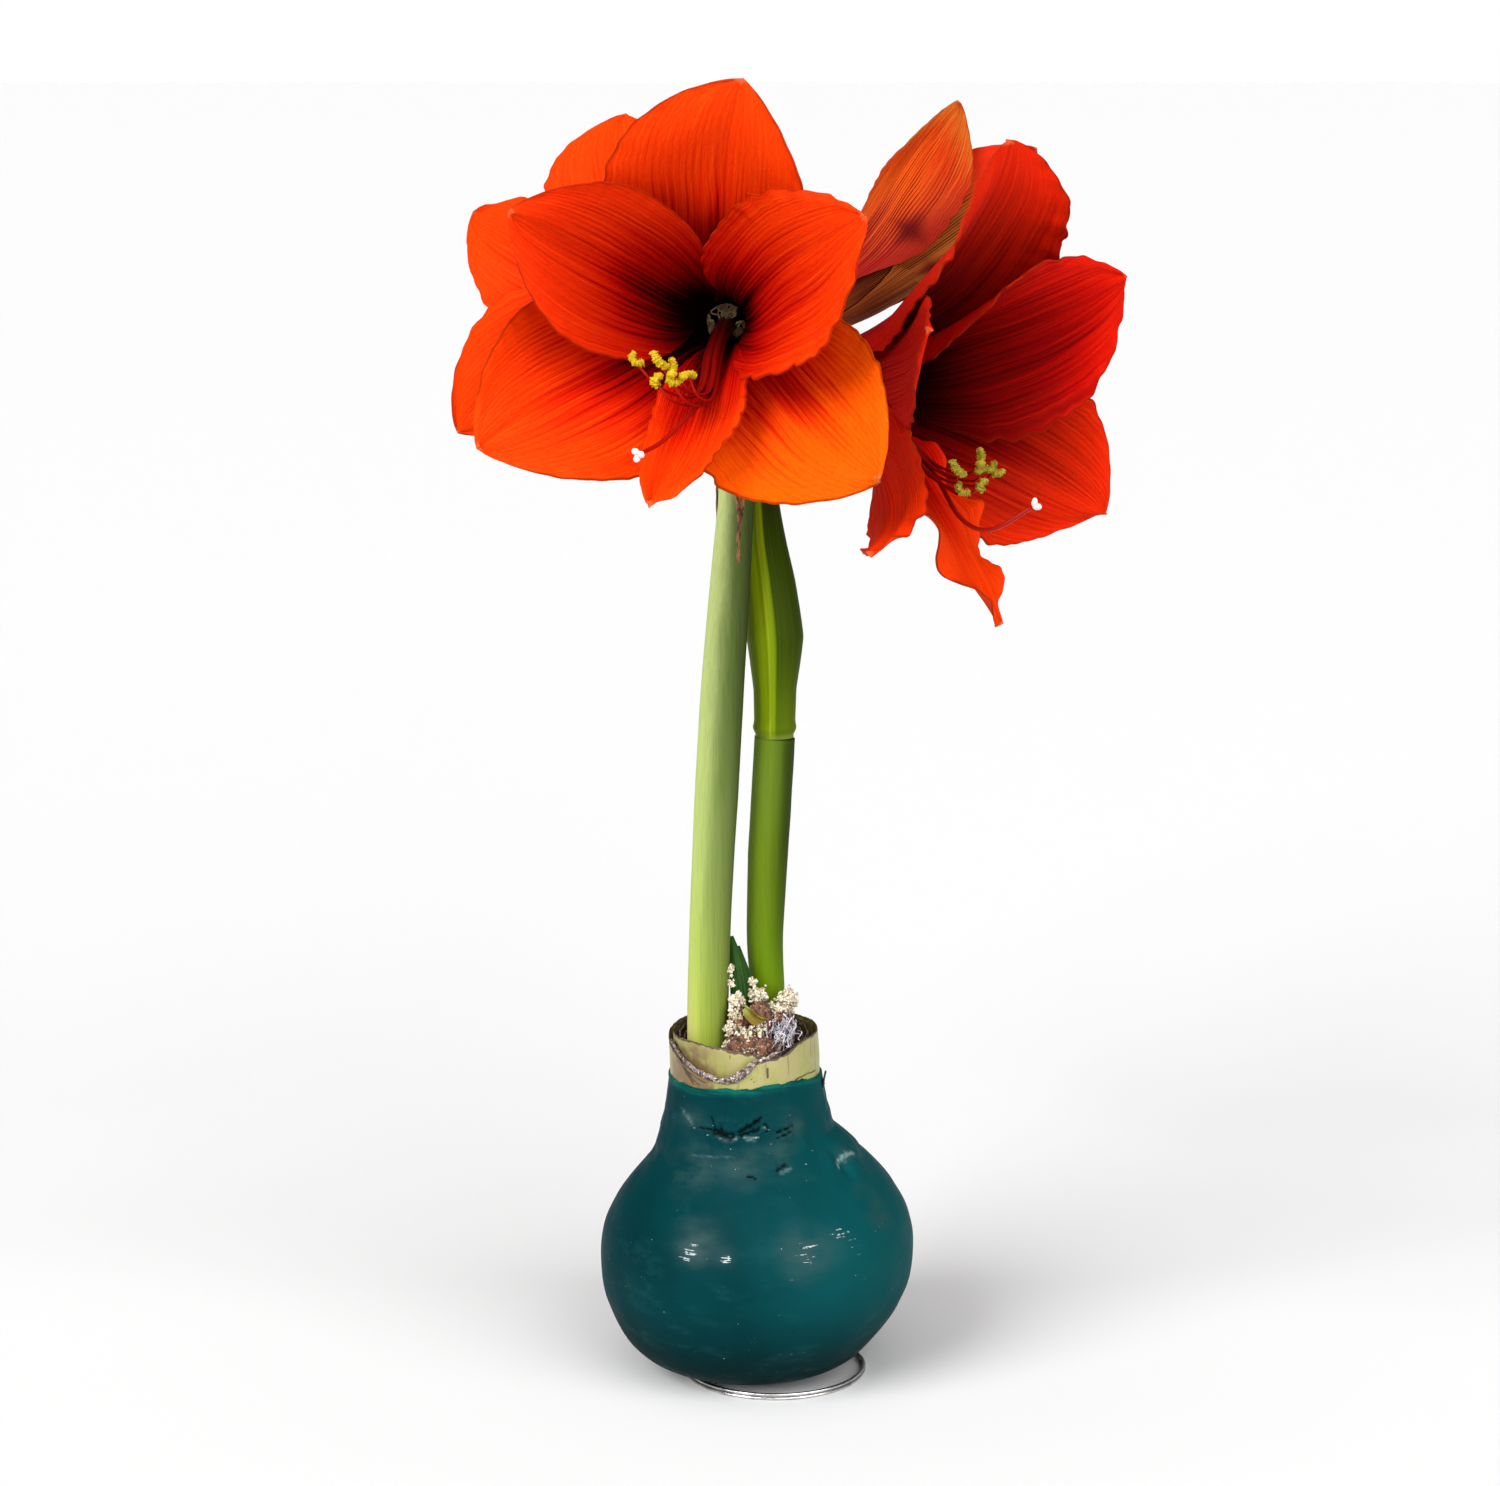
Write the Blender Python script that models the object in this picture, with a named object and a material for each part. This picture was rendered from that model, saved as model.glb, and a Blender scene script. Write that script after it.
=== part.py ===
"""A waxed amaryllis bulb in flower, built from its separate pieces.

The bulb sits in a coat of wax on a ring of wire. Two scapes rise from its cut neck: the tall one
carries an umbel of four flowers, the short one a bud still shut in its spathe.
Metres, +Z up, the viewer of the front at -Y. Every clock angle is read by someone who looks
straight into a flower: 0 is up, and angles grow clockwise.
"""

import math
from dataclasses import dataclass, field

import bmesh
import bpy
from mathutils import Vector

GAP = 0.0003  # running clearance between pieces that touch
PLAN_SHIFT = (-0.0011, -0.0063)  # brings the middle of the whole plant over the origin

# Wire stand: two stacked turns on the floor, then an arm to the middle and a leg up into the bulb
WIRE_RADIUS = 0.00058
WIRE_SIDES = 6
RING_RADIUS = 0.0292
RING_CENTRE = (0.0029, -0.0008)
RING_STATIONS = 26
ARM_STATIONS = 15
LEG_LENGTH = 0.018

# Wax coat and bulb, as a profile round an axis that bows a little to the right
WAX_BOTTOM = 0.0026
WAX_THICKNESS = 0.0012
WAX_PROFILE = (
    (WAX_BOTTOM, 0.0125),
    (WAX_BOTTOM, 0.0225),
    (0.0036, 0.0290),
    (0.0062, 0.0345),
    (0.0098, 0.0387),
    (0.0152, 0.0430),
    (0.0220, 0.0468),
    (0.0300, 0.0497),
    (0.0390, 0.0507),
    (0.0470, 0.0500),
    (0.0540, 0.0474),
    (0.0610, 0.0430),
    (0.0680, 0.0370),
    (0.0740, 0.0324),
    (0.0806, 0.0282),
    (0.0880, 0.0262),
    (0.0950, 0.0252),
)  # (height, radius), from the flat foot up to the neck
BULB_AXIS = (
    (0.000, -0.0054),
    (0.012, -0.0047),
    (0.022, -0.0037),
    (0.032, -0.0029),
    (0.046, -0.0024),
    (0.060, -0.0019),
    (0.068, -0.0021),
    (0.074, -0.0028),
    (0.081, -0.0058),
    (0.095, -0.0064),
    (0.120, -0.0076),
)  # (height, x) of the middle of each cross-section
BULB_Y = 0.0030
BULB_SIDES = 24
WAX_RIM = (0.0985, 0.0247)
NECK_RADIUS = 0.0240
NECK_TOP = 0.1130
NECK_FLOOR = 0.1035
SCALE_THICKNESS = 0.0013
WAX_RIM_RISE = (0.0012, 310, 34)  # a hump: height, then its middle and width in degrees round the neck
INNER_TEAR = (-0.0045, 303, 32)
OUTER_TEARS = ((-0.0112, 254, 60, 26), (-0.0035, 298, 16))  # the first is steeper on its right

# Scapes: (x, y, z) of the centre line, from the foot up
TALL_SCAPE_LINE = (
    (-0.0184, -0.0032, NECK_FLOOR + GAP),
    (-0.0183, -0.0032, 0.128),
    (-0.0173, -0.0030, 0.157),
    (-0.0157, -0.0022, 0.189),
    (-0.0140, -0.0008, 0.219),
    (-0.0117, 0.0013, 0.251),
    (-0.0094, 0.0044, 0.281),
    (-0.0080, 0.0060, 0.294),
)
TALL_SCAPE_RADII = (0.0066, 0.0065, 0.0065, 0.0068, 0.0068, 0.0064, 0.0056, 0.0068)
SHORT_SCAPE_LINE = (
    (0.0020, 0.0105, NECK_FLOOR + GAP),
    (0.0006, 0.0105, 0.125),
    (-0.0002, 0.0105, 0.142),
    (0.0007, 0.0105, 0.168),
    (0.0018, 0.0105, 0.187),
    (0.0028, 0.0105, 0.2065),
)
SHORT_SCAPE_RADII = (0.0044, 0.0054, 0.0058, 0.0064, 0.0064, 0.0064)

TEPAL_THICKNESS = 0.0008
TEPAL_COLUMNS = 6
TEPAL_STATIONS = (0.0, 0.09, 0.20, 0.33, 0.46, 0.60, 0.73, 0.86, 0.95, 1.0)
THROAT_RADIUS = 0.0066
CUP_LENGTH = 0.017
CUP_FOOT_RADIUS = 0.0044
CUP_FLOOR = 0.0016
OVARY_LENGTH = 0.009

COLOURS = {
    "tepals": ((0.86, 0.09, 0.01), 0.45, 0.0),
    "stamens": ((0.80, 0.62, 0.08), 0.6, 0.0),
    "style": ((0.60, 0.05, 0.02), 0.4, 0.0),
    "pedicel": ((0.26, 0.20, 0.06), 0.5, 0.0),
    "tall_scape": ((0.38, 0.50, 0.22), 0.5, 0.0),
    "short_scape": ((0.22, 0.40, 0.05), 0.45, 0.0),
    "spathe": ((0.30, 0.44, 0.04), 0.45, 0.0),
    "dry_bract": ((0.22, 0.11, 0.04), 0.8, 0.0),
    "leaf": ((0.08, 0.20, 0.05), 0.4, 0.0),
    "crumbs": ((0.75, 0.68, 0.52), 0.9, 0.0),
    "bulb": ((0.60, 0.62, 0.30), 0.6, 0.0),
    "wax": ((0.01, 0.12, 0.13), 0.35, 0.0),
    "wire": ((0.60, 0.60, 0.60), 0.2, 1.0),
}


@dataclass
class Tepal:
    """One tepal of a flower.

    mid and tip are the angles, in degrees from the flower's axis, of the centre line half way and
    at the end. swing turns the tepal round the axis as it leaves the throat, bend carries its outer
    half sideways, twist turns its blade. left and right widen one half of the blade.
    """

    length: float
    width: float
    mid: float
    tip: float
    swing: float = 0.0
    bend: float = 0.0
    twist: float = 0.0
    left: float = 1.0
    right: float = 1.0
    ruffle: float = 0.0012
    waves: float = 2.5
    cup: float = 6.0
    fullness: float = 0.8
    widest: float = 0.58


@dataclass
class Flower:
    """A flower's place, facing and six tepals, clockwise from the one at the top."""

    name: str
    throat: tuple
    facing: float
    lift: float
    spin: float
    tepals: list
    outer_first: bool = True
    base_outer: float = 20.0
    base_inner: float = 5.0
    wrap: float = 0.55
    stamen_low: tuple = (0.0, -0.016, 0.050)
    stamen_end: tuple = (0.0, -0.009, 0.073)
    style_low: tuple = (0.0, -0.020, 0.062)
    style_end: tuple = (0.0, -0.020, 0.088)
    foot: tuple = (0.0, 0.0)
    lean: tuple = (0.0, 0.0)
    spread: float = 0.009
    frame: tuple = field(default=())


FLOWERS = (
    Flower(
        name="front",
        throat=(-0.0118, -0.036, 0.341),
        facing=-10.0,
        lift=4.0,
        spin=4.0,
        foot=(-0.0032, -0.0028),
        lean=(-0.0013, -0.0032),
        stamen_low=(0.0033, -0.0205, 0.0530),
        stamen_end=(-0.0049, -0.0130, 0.0732),
        style_low=(-0.0005, -0.0270, 0.0680),
        style_end=(-0.0075, -0.0357, 0.0900),
        tepals=[
            Tepal(0.101, 0.0316, 38, 62, swing=11, bend=4, twist=2, left=1.1, cup=8),
            Tepal(0.106, 0.0277, 33, 61, swing=-8, bend=9, twist=9, left=0.82, right=1.17, cup=4),
            Tepal(0.102, 0.0312, 42, 57, swing=7, bend=-9, twist=13, left=0.92, right=1.14, cup=10),
            Tepal(0.104, 0.016, 34, 24, swing=2, bend=-2, twist=-10, left=1.3, right=0.6, cup=20),
            Tepal(0.098, 0.0323, 43, 50, bend=-17, twist=3, left=1.18, right=0.91, cup=26),
            Tepal(0.099, 0.0262, 34.5, 47, swing=3, bend=-9, twist=-11, left=1.08, right=0.92, cup=7),
        ],
    ),
    Flower(
        name="right",
        throat=(0.0147, -0.016, 0.324),
        facing=50.0,
        lift=-4.0,
        spin=0.0,
        foot=(0.0030, -0.0030),
        stamen_low=(-0.0050, -0.0215, 0.0500),
        stamen_end=(-0.0120, -0.0194, 0.0712),
        style_low=(-0.0070, -0.0371, 0.0725),
        style_end=(-0.0109, -0.0261, 0.0917),
        spread=0.006,
        tepals=[
            Tepal(0.105, 0.0300, 42, 76, swing=-6, bend=-3, right=1.2, cup=26),
            Tepal(0.100, 0.0318, 30, 69, swing=-11, bend=-1.5, twist=2, left=1.15, cup=15),
            Tepal(0.098, 0.0300, 43, 73, swing=-2, bend=10, twist=-24, cup=-7),
            Tepal(0.099, 0.0190, 44, 60, 2, -8, 8, left=0.65, right=1.15, ruffle=0.0035, waves=4.5),
            Tepal(0.110, 0.0165, 39, 77, swing=-9, bend=24, twist=58, ruffle=0.002, cup=11),
            Tepal(0.098, 0.0203, 37, 51, swing=-5, bend=3, twist=-13, left=1.1, right=0.9, cup=-7),
        ],
    ),
    Flower(
        name="back",
        throat=(-0.0198, 0.044, 0.338),
        facing=-150.0,
        lift=6.0,
        spin=0.0,
        foot=(-0.0028, 0.0032),
        lean=(-0.0040, 0.0020),
        tepals=[
            Tepal(0.086, 0.0318, 36, 48, swing=-6, bend=-4, twist=9, left=1.08, right=1.15, cup=1),
            Tepal(0.101, 0.0285, 27, 23, swing=6, bend=-6, twist=-28, right=1.08, cup=1),
            Tepal(0.101, 0.0270, 39, 76, swing=13, bend=10, twist=-23, cup=17),
            Tepal(0.106, 0.0238, 39, 70, swing=4, bend=2),
            Tepal(0.100, 0.0272, 35, 60),
            Tepal(0.099, 0.0261, 33, 60),
        ],
    ),
    Flower(
        name="opening",
        throat=(0.0150, 0.034, 0.337),
        facing=126.6,
        lift=28.1,
        spin=57.4,
        outer_first=False,
        foot=(0.0032, 0.0028),
        lean=(0.0040, -0.0010),
        wrap=1.0,
        base_outer=12.0,
        base_inner=4.0,
        stamen_low=(0.0, -0.001, 0.030),
        stamen_end=(0.0, -0.001, 0.048),
        style_low=(0.0, -0.001, 0.046),
        style_end=(0.0, -0.001, 0.062),
        spread=0.0052,
        tepals=[
            Tepal(0.080, 0.0190, 8, 2),
            Tepal(0.080, 0.0190, 8, 2),
            Tepal(0.082, 0.0140, 3, -3),
            Tepal(0.082, 0.0130, 4, -6, cup=30),
            Tepal(0.090, 0.0203, 19, 10, twist=2, left=0.87),
            Tepal(0.086, 0.0222, 22, 14, swing=-3, bend=-1, twist=-2, left=1.1, right=0.77),
        ],
    ),
)


# Small helpers for values along a curve


def mix(a, b, t):
    return a + (b - a) * t


def smooth(t):
    t = max(0.0, min(1.0, t))
    return t * t * (3.0 - 2.0 * t)


def spline(points, t):
    """A point at share t of the smooth curve through points."""
    points = [Vector(p) for p in points]
    last = len(points) - 1
    at = min(max(t, 0.0), 1.0) * last
    i = min(int(at), last - 1)
    u = at - i
    a = points[i - 1] if i > 0 else 2 * points[0] - points[1]
    b, c = points[i], points[i + 1]
    d = points[i + 2] if i + 2 <= last else 2 * points[last] - points[last - 1]
    return 0.5 * (2 * b + (c - a) * u + (2 * a - 5 * b + 4 * c - d) * u**2 + (3 * b - a - 3 * c + d) * u**3)


def between(values, t):
    """A value at share t of a list, straight from one to the next."""
    at = min(max(t, 0.0), 1.0) * (len(values) - 1)
    i = min(int(at), len(values) - 2)
    return mix(values[i], values[i + 1], at - i)


def hump(angle, height, middle, low_width, high_width=None):
    """A smooth hump round a middle in degrees, with its own width on each side of it."""
    turn = (math.degrees(angle) - middle + 180) % 360 - 180
    width = high_width if high_width and turn > 0 else low_width
    return height * math.exp(-((turn / width) ** 2))


def turned(a, b, angle):
    """Two square directions, both turned by an angle in their own plane."""
    return a * math.cos(angle) + b * math.sin(angle), b * math.cos(angle) - a * math.sin(angle)


# Meshes and objects


def finish_of(slot):
    """The slot's Principled material."""
    found = bpy.data.materials.get(slot)
    if found:
        return found
    colour, roughness, metallic = COLOURS[slot]
    made = bpy.data.materials.new(slot)
    made.use_nodes = True
    shader = made.node_tree.nodes["Principled BSDF"]
    shader.inputs["Base Color"].default_value = (*colour, 1.0)
    shader.inputs["Roughness"].default_value = roughness
    shader.inputs["Metallic"].default_value = metallic
    made.diffuse_color = (*colour, 1.0)
    return made


def add_piece(name, slot, shape):
    """One named object from a bmesh, its faces turned outwards."""
    bmesh.ops.translate(shape, vec=(*PLAN_SHIFT, 0.0), verts=shape.verts)
    bmesh.ops.recalc_face_normals(shape, faces=shape.faces)
    mesh = bpy.data.meshes.new(name)
    shape.to_mesh(mesh)
    shape.free()
    piece = bpy.data.objects.new(name, mesh)
    bpy.context.scene.collection.objects.link(piece)
    mesh.materials.append(finish_of(slot))
    mesh.shade_smooth()
    mesh.set_sharp_from_angle(angle=math.radians(50))
    return piece


def loft(rings, closed=False):
    """A solid through rings of points: capped at both ends, or closed on itself like a tyre."""
    shape = bmesh.new()
    rows = [[shape.verts.new(p) for p in ring] for ring in rings]
    count = len(rows[0])
    pairs = list(zip(rows, rows[1:]))
    if closed:
        pairs.append((rows[-1], rows[0]))
    for low, high in pairs:
        for k in range(count):
            after = (k + 1) % count
            shape.faces.new((low[k], low[after], high[after], high[k]))
    if not closed:
        shape.faces.new(rows[0])
        shape.faces.new(rows[-1])
    return shape


def tube_rings(line, radii, sides, flatness=1.0, first_side=None, turn=0.0):
    """Rings square to a line of points, with frames that don't spin along it."""
    line = [Vector(p) for p in line]
    rings = []
    side = Vector(first_side) if first_side else None
    for i, centre in enumerate(line):
        ahead = (line[min(i + 1, len(line) - 1)] - line[max(i - 1, 0)]).normalized()
        if side is None:
            side = ahead.orthogonal()
        side = (side - ahead * side.dot(ahead)).normalized()
        other = ahead.cross(side)
        ring = []
        for k in range(sides):
            angle = turn + math.tau * k / sides
            across = side * math.cos(angle) + other * math.sin(angle) * flatness
            ring.append(centre + across * radii[i])
        rings.append(ring)
    return rings


def smooth_tube(line, radii, stations, sides, flatness=1.0, first_side=None):
    """Rings along the smooth curve through a few points, with radii spread along it."""
    shares = [i / (stations - 1) for i in range(stations)]
    points = [spline(line, t) for t in shares]
    return tube_rings(points, [between(radii, t) for t in shares], sides, flatness, first_side)


def level_ends(rings, foot, top=None):
    """Lays the first ring flat at one height and the last at another."""
    rings[0] = [Vector((p.x, p.y, foot)) for p in rings[0]]
    if top is not None:
        rings[-1] = [Vector((p.x, p.y, top)) for p in rings[-1]]


def join_by_union(name, slot, pieces):
    """One body from pieces that run into each other."""
    group = bpy.data.collections.new(name + "_parts")
    bpy.context.scene.collection.children.link(group)
    first = pieces[0]
    for piece in pieces[1:]:
        bpy.context.scene.collection.objects.unlink(piece)
        group.objects.link(piece)
    union = first.modifiers.new("Union", "BOOLEAN")
    union.operation = "UNION"
    union.operand_type = "COLLECTION"
    union.collection = group
    union.solver = "MANIFOLD"
    graph = bpy.context.evaluated_depsgraph_get()
    joined = bpy.data.meshes.new_from_object(first.evaluated_get(graph))
    first.modifiers.clear()
    first.data = joined
    first.name = name
    for piece in pieces[1:]:
        bpy.data.objects.remove(piece)
    bpy.data.collections.remove(group)
    joined.materials.clear()
    joined.materials.append(finish_of(slot))
    return first


# Wire stand


def wire_line():
    """Two turns on top of each other, an arm that winds in to the bulb's middle, and the leg."""
    wire_height = 2 * WIRE_RADIUS * math.cos(math.pi / WIRE_SIDES)
    low = wire_height / 2
    high = low + wire_height + GAP
    middle = Vector((*RING_CENTRE, 0.0))
    foot = bulb_centre(WAX_BOTTOM)
    line = []
    for i in range(2 * RING_STATIONS):
        angle = math.tau * i / RING_STATIONS
        z = mix(low, high, smooth((i - RING_STATIONS) / 4))
        line.append(middle + Vector((RING_RADIUS * math.cos(angle), RING_RADIUS * math.sin(angle), z)))
    for i in range(1, ARM_STATIONS):
        t = i / ARM_STATIONS
        angle = math.tau * 0.62 * t
        reach = mix(RING_RADIUS, 0.0016, smooth(t) ** 0.9)
        line.append(middle.lerp(foot, t) + Vector((reach * math.cos(angle), reach * math.sin(angle), high)))
    for z in (high, WAX_BOTTOM, 0.009, high + LEG_LENGTH):
        line.append(Vector((foot.x, foot.y, z)))
    return line


def build_wire_stand():
    line = wire_line()
    rings = tube_rings(line, [WIRE_RADIUS] * len(line), WIRE_SIDES, first_side=(1, 0, 0))
    add_piece("wire_stand", "wire", loft(rings))


# Bulb and wax coat


def bulb_centre(height):
    """The middle of the bulb's cross-section at a height."""
    for (low, low_x), (high, high_x) in zip(BULB_AXIS, BULB_AXIS[1:]):
        if height <= high:
            break
    share = min((height - low) / (high - low), 1.0)
    return Vector((mix(low_x, high_x, share), BULB_Y, 0.0))


def inside_of(profile, depth):
    """The profile moved inwards by depth, square to itself."""
    moved = []
    for i, (z, r) in enumerate(profile):
        before, after = profile[max(i - 1, 0)], profile[min(i + 1, len(profile) - 1)]
        along = Vector((after[1] - before[1], after[0] - before[0])).normalized()
        moved.append((z + along.x * depth, r - along.y * depth))
    return moved


def bore_ring(height):
    """One ring of the hole that takes the stand's leg."""
    foot = bulb_centre(WAX_BOTTOM)
    ring = []
    for k in range(BULB_SIDES):
        angle = math.tau * k / BULB_SIDES
        reach = WIRE_RADIUS + GAP
        ring.append(foot + Vector((reach * math.cos(angle), reach * math.sin(angle), height)))
    return ring


def turned_ring(height, radius, lift=lambda angle: 0.0):
    """One ring round the bulb's axis, raised by lift at each angle."""
    ring = []
    for k in range(BULB_SIDES):
        angle = math.tau * k / BULB_SIDES
        z = height + lift(angle)
        ring.append(bulb_centre(height) + Vector((radius * math.cos(angle), radius * math.sin(angle), z)))
    return ring


def wax_rim_lift(angle):
    """The dipped edge, a little uneven, and higher at the front right."""
    return 0.0004 * math.sin(3 * angle) + hump(angle, *WAX_RIM_RISE)


def inner_rim_lift(angle):
    """The cut second scale, level but for a dip at the front right."""
    return 0.0003 * math.sin(5 * angle + 1.0) - 0.0002 + hump(angle, *INNER_TEAR)


def outer_rim_lift(angle):
    """The torn outer scale, which swoops down across the front, steeper on its right."""
    return 0.0004 + sum(hump(angle, *tear) for tear in OUTER_TEARS)


def build_wax_coat():
    rings = [turned_ring(height, radius) for height, radius in WAX_PROFILE]
    rim_height, rim_radius = WAX_RIM
    rings.append(turned_ring(rim_height, rim_radius, wax_rim_lift))
    rings.append(turned_ring(rim_height, NECK_RADIUS - 0.0002, wax_rim_lift))
    inside = inside_of(WAX_PROFILE, WAX_THICKNESS)
    rings += [turned_ring(height, radius) for height, radius in reversed(inside)]
    rings += [bore_ring(WAX_BOTTOM + WAX_THICKNESS), bore_ring(WAX_BOTTOM)]
    add_piece("wax_coat", "wax", loft(rings, closed=True))


def build_bulb():
    inside = inside_of(WAX_PROFILE, WAX_THICKNESS + GAP)
    rings = [bore_ring(WAX_BOTTOM + LEG_LENGTH + 0.001), bore_ring(inside[0][0])]
    rings += [turned_ring(height, radius) for height, radius in inside]
    rings.append(turned_ring(WAX_RIM[0], NECK_RADIUS - 0.0002 - GAP, wax_rim_lift))
    outer = NECK_RADIUS
    inner = outer - SCALE_THICKNESS - 0.0004
    rings.append(turned_ring(NECK_TOP, outer, outer_rim_lift))
    rings.append(turned_ring(NECK_TOP, outer - SCALE_THICKNESS, outer_rim_lift))
    rings.append(turned_ring(NECK_TOP - 0.0012, outer - SCALE_THICKNESS - 0.0002, outer_rim_lift))
    rings.append(turned_ring(NECK_TOP, inner, inner_rim_lift))
    rings.append(turned_ring(NECK_TOP, inner - SCALE_THICKNESS, inner_rim_lift))
    rings.append(turned_ring(NECK_FLOOR, inner - SCALE_THICKNESS - 0.0006))
    rings.append(turned_ring(NECK_FLOOR, 0.008))
    add_piece("bulb", "bulb", loft(rings))


# Scapes, spathe bud, bracts and leaf tips


def build_scapes():
    tall = smooth_tube(TALL_SCAPE_LINE, TALL_SCAPE_RADII, 13, 14, flatness=0.92, first_side=(1, 0, 0))
    level_ends(tall, TALL_SCAPE_LINE[0][2], TALL_SCAPE_LINE[-1][2])
    add_piece("scape_tall", "tall_scape", loft(tall))
    short = smooth_tube(SHORT_SCAPE_LINE, SHORT_SCAPE_RADII, 9, 12, flatness=0.95, first_side=(1, 0, 0))
    level_ends(short, SHORT_SCAPE_LINE[0][2], SHORT_SCAPE_LINE[-1][2])
    add_piece("scape_short", "short_scape", loft(short))


SPATHE_LINE = (
    (0.0028, 0.0105, 0.2071),
    (0.0029, 0.0106, 0.222),
    (0.0028, 0.0110, 0.239),
    (0.0010, 0.0122, 0.256),
    (-0.0009, 0.0140, 0.270),
    (-0.0018, 0.0160, 0.283),
    (-0.0020, 0.0175, 0.296),
    (-0.0018, 0.0182, 0.304),
)
SPATHE_RADII = (0.0068, 0.0066, 0.0085, 0.0079, 0.0068, 0.0054, 0.0030, 0.0008)
SPATHE_SIDES = 16
SPATHE_KEEL = (0.10, 255, 16)


def build_spathe_bud():
    """The bud in its two pointed valves, which overlap in a raised edge down the front."""
    stations = 14
    shares = [i / (stations - 1) for i in range(stations)]
    points = [spline(SPATHE_LINE, t) for t in shares]
    rings = []
    for i, centre in enumerate(points):
        radius = between(SPATHE_RADII, shares[i])
        ring = []
        for k in range(SPATHE_SIDES):
            angle = math.tau * k / SPATHE_SIDES
            ridge = hump(angle, *SPATHE_KEEL) + 0.05 * math.cos(2 * angle)
            reach = radius * (1.0 + ridge)
            ring.append(centre + Vector((reach * math.cos(angle), 0.86 * reach * math.sin(angle), 0.0)))
        rings.append(ring)
    add_piece("spathe_bud", "spathe", loft(rings))


def blade(line, widths, sides_dir, thickness, stations, columns, cup=0.25, twist=0.0):
    """A thin closed blade along a curve: its face spans the given direction, cupped across."""
    shares = [i / stations for i in range(stations + 1)]
    grid = []
    for t in shares:
        centre = spline(line, t)
        ahead = (spline(line, min(t + 0.02, 1.0)) - spline(line, max(t - 0.02, 0.0))).normalized()
        side = Vector(sides_dir)
        side = (side - ahead * side.dot(ahead)).normalized()
        out = side.cross(ahead)
        side, out = turned(side, out, math.radians(twist) * t)
        half = max(between(widths, t), 0.0006)
        row = []
        for c in range(columns + 1):
            v = 2 * c / columns - 1
            row.append((centre + side * (half * v) + out * (cup * half * (1 - v * v)), out))
        grid.append(row)
    shape = bmesh.new()
    front = [[shape.verts.new(p + n * (thickness / 2)) for p, n in row] for row in grid]
    back = [[shape.verts.new(p - n * (thickness / 2)) for p, n in row] for row in grid]
    for i in range(stations):
        for c in range(columns):
            add_cell(shape, front, i, c, False)
            add_cell(shape, back, i, c, True)
        for c in (0, columns):
            shape.faces.new((front[i][c], front[i + 1][c], back[i + 1][c], back[i][c]))
    for c in range(columns):
        for i in (0, stations):
            shape.faces.new((front[i][c], front[i][c + 1], back[i][c + 1], back[i][c]))
    return shape


def add_cell(shape, grid, i, c, flip):
    """One cell of a blade's face as two triangles, cut the same way on both faces."""
    a, b = grid[i][c], grid[i][c + 1]
    d, e = grid[i + 1][c], grid[i + 1][c + 1]
    for corners in ((a, b, e), (a, e, d)):
        shape.faces.new(tuple(reversed(corners)) if flip else corners)


FRONT_BRACT = (
    (-0.0080, -0.0013, 0.2925),
    (-0.0081, -0.0030, 0.2860),
    (-0.0079, -0.0052, 0.2790),
    (-0.0083, -0.0068, 0.2720),
    (-0.0084, -0.0078, 0.2650),
)
BACK_BRACT = (
    (-0.0131, 0.0116, 0.2925),
    (-0.0134, 0.0128, 0.2860),
    (-0.0136, 0.0138, 0.2760),
    (-0.0137, 0.0142, 0.2650),
    (-0.0143, 0.0147, 0.2550),
)


def build_bracts():
    """The two dried spathe valves that hang from the top of the tall scape."""
    widths = (0.0020, 0.0022, 0.0017, 0.0012, 0.0006)
    front = blade(FRONT_BRACT, widths, (1.0, 0.1, 0.0), 0.0007, 8, 2, cup=0.3, twist=50)
    add_piece("bract_front", "dry_bract", front)
    widths = (0.0022, 0.0030, 0.0028, 0.0020, 0.0006)
    back = blade(BACK_BRACT, widths, (-0.8, -0.6, 0.0), 0.0007, 8, 2, cup=0.3, twist=20)
    add_piece("bract_back", "dry_bract", back)


FRONT_LEAF = (
    (-0.0077, -0.0022, 0.1180),
    (-0.0079, -0.0018, 0.1260),
    (-0.0092, -0.0010, 0.1350),
    (-0.0107, 0.0000, 0.1442),
)
BACK_LEAF = (
    (-0.0062, 0.0034, NECK_FLOOR + GAP),
    (-0.0062, 0.0036, 0.1220),
    (-0.0074, 0.0038, 0.1310),
    (-0.0088, 0.0040, 0.1400),
)


def build_leaf_tips():
    """Two young leaves that have just cleared the neck between the scapes."""
    front_line = ((FRONT_LEAF[0][0], FRONT_LEAF[0][1], NECK_FLOOR + GAP),) + FRONT_LEAF[1:]
    front = blade(front_line, (0.0030, 0.0031, 0.0023, 0.0005), (1, 0.25, 0), 0.0012, 6, 2, cup=0.35)
    add_piece("leaf_front", "leaf", front)
    back = blade(BACK_LEAF, (0.0022, 0.0026, 0.0020, 0.0005), (1, -0.1, 0), 0.0010, 6, 2, cup=0.25)
    add_piece("leaf_back", "leaf", back)


TUFT_LUMPS = (
    ((-0.0005, -0.0097, 0.1098), (0.0092, 0.0042, 0.0058)),
    ((-0.0080, -0.0080, 0.1160), (0.0032, 0.0028, 0.0064)),
    ((-0.0008, -0.0066, 0.1180), (0.0034, 0.0034, 0.0078)),
    ((0.0064, -0.0056, 0.1150), (0.0044, 0.0038, 0.0092)),
)  # (centre, half sizes) of the lumps of crumbled scale


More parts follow.
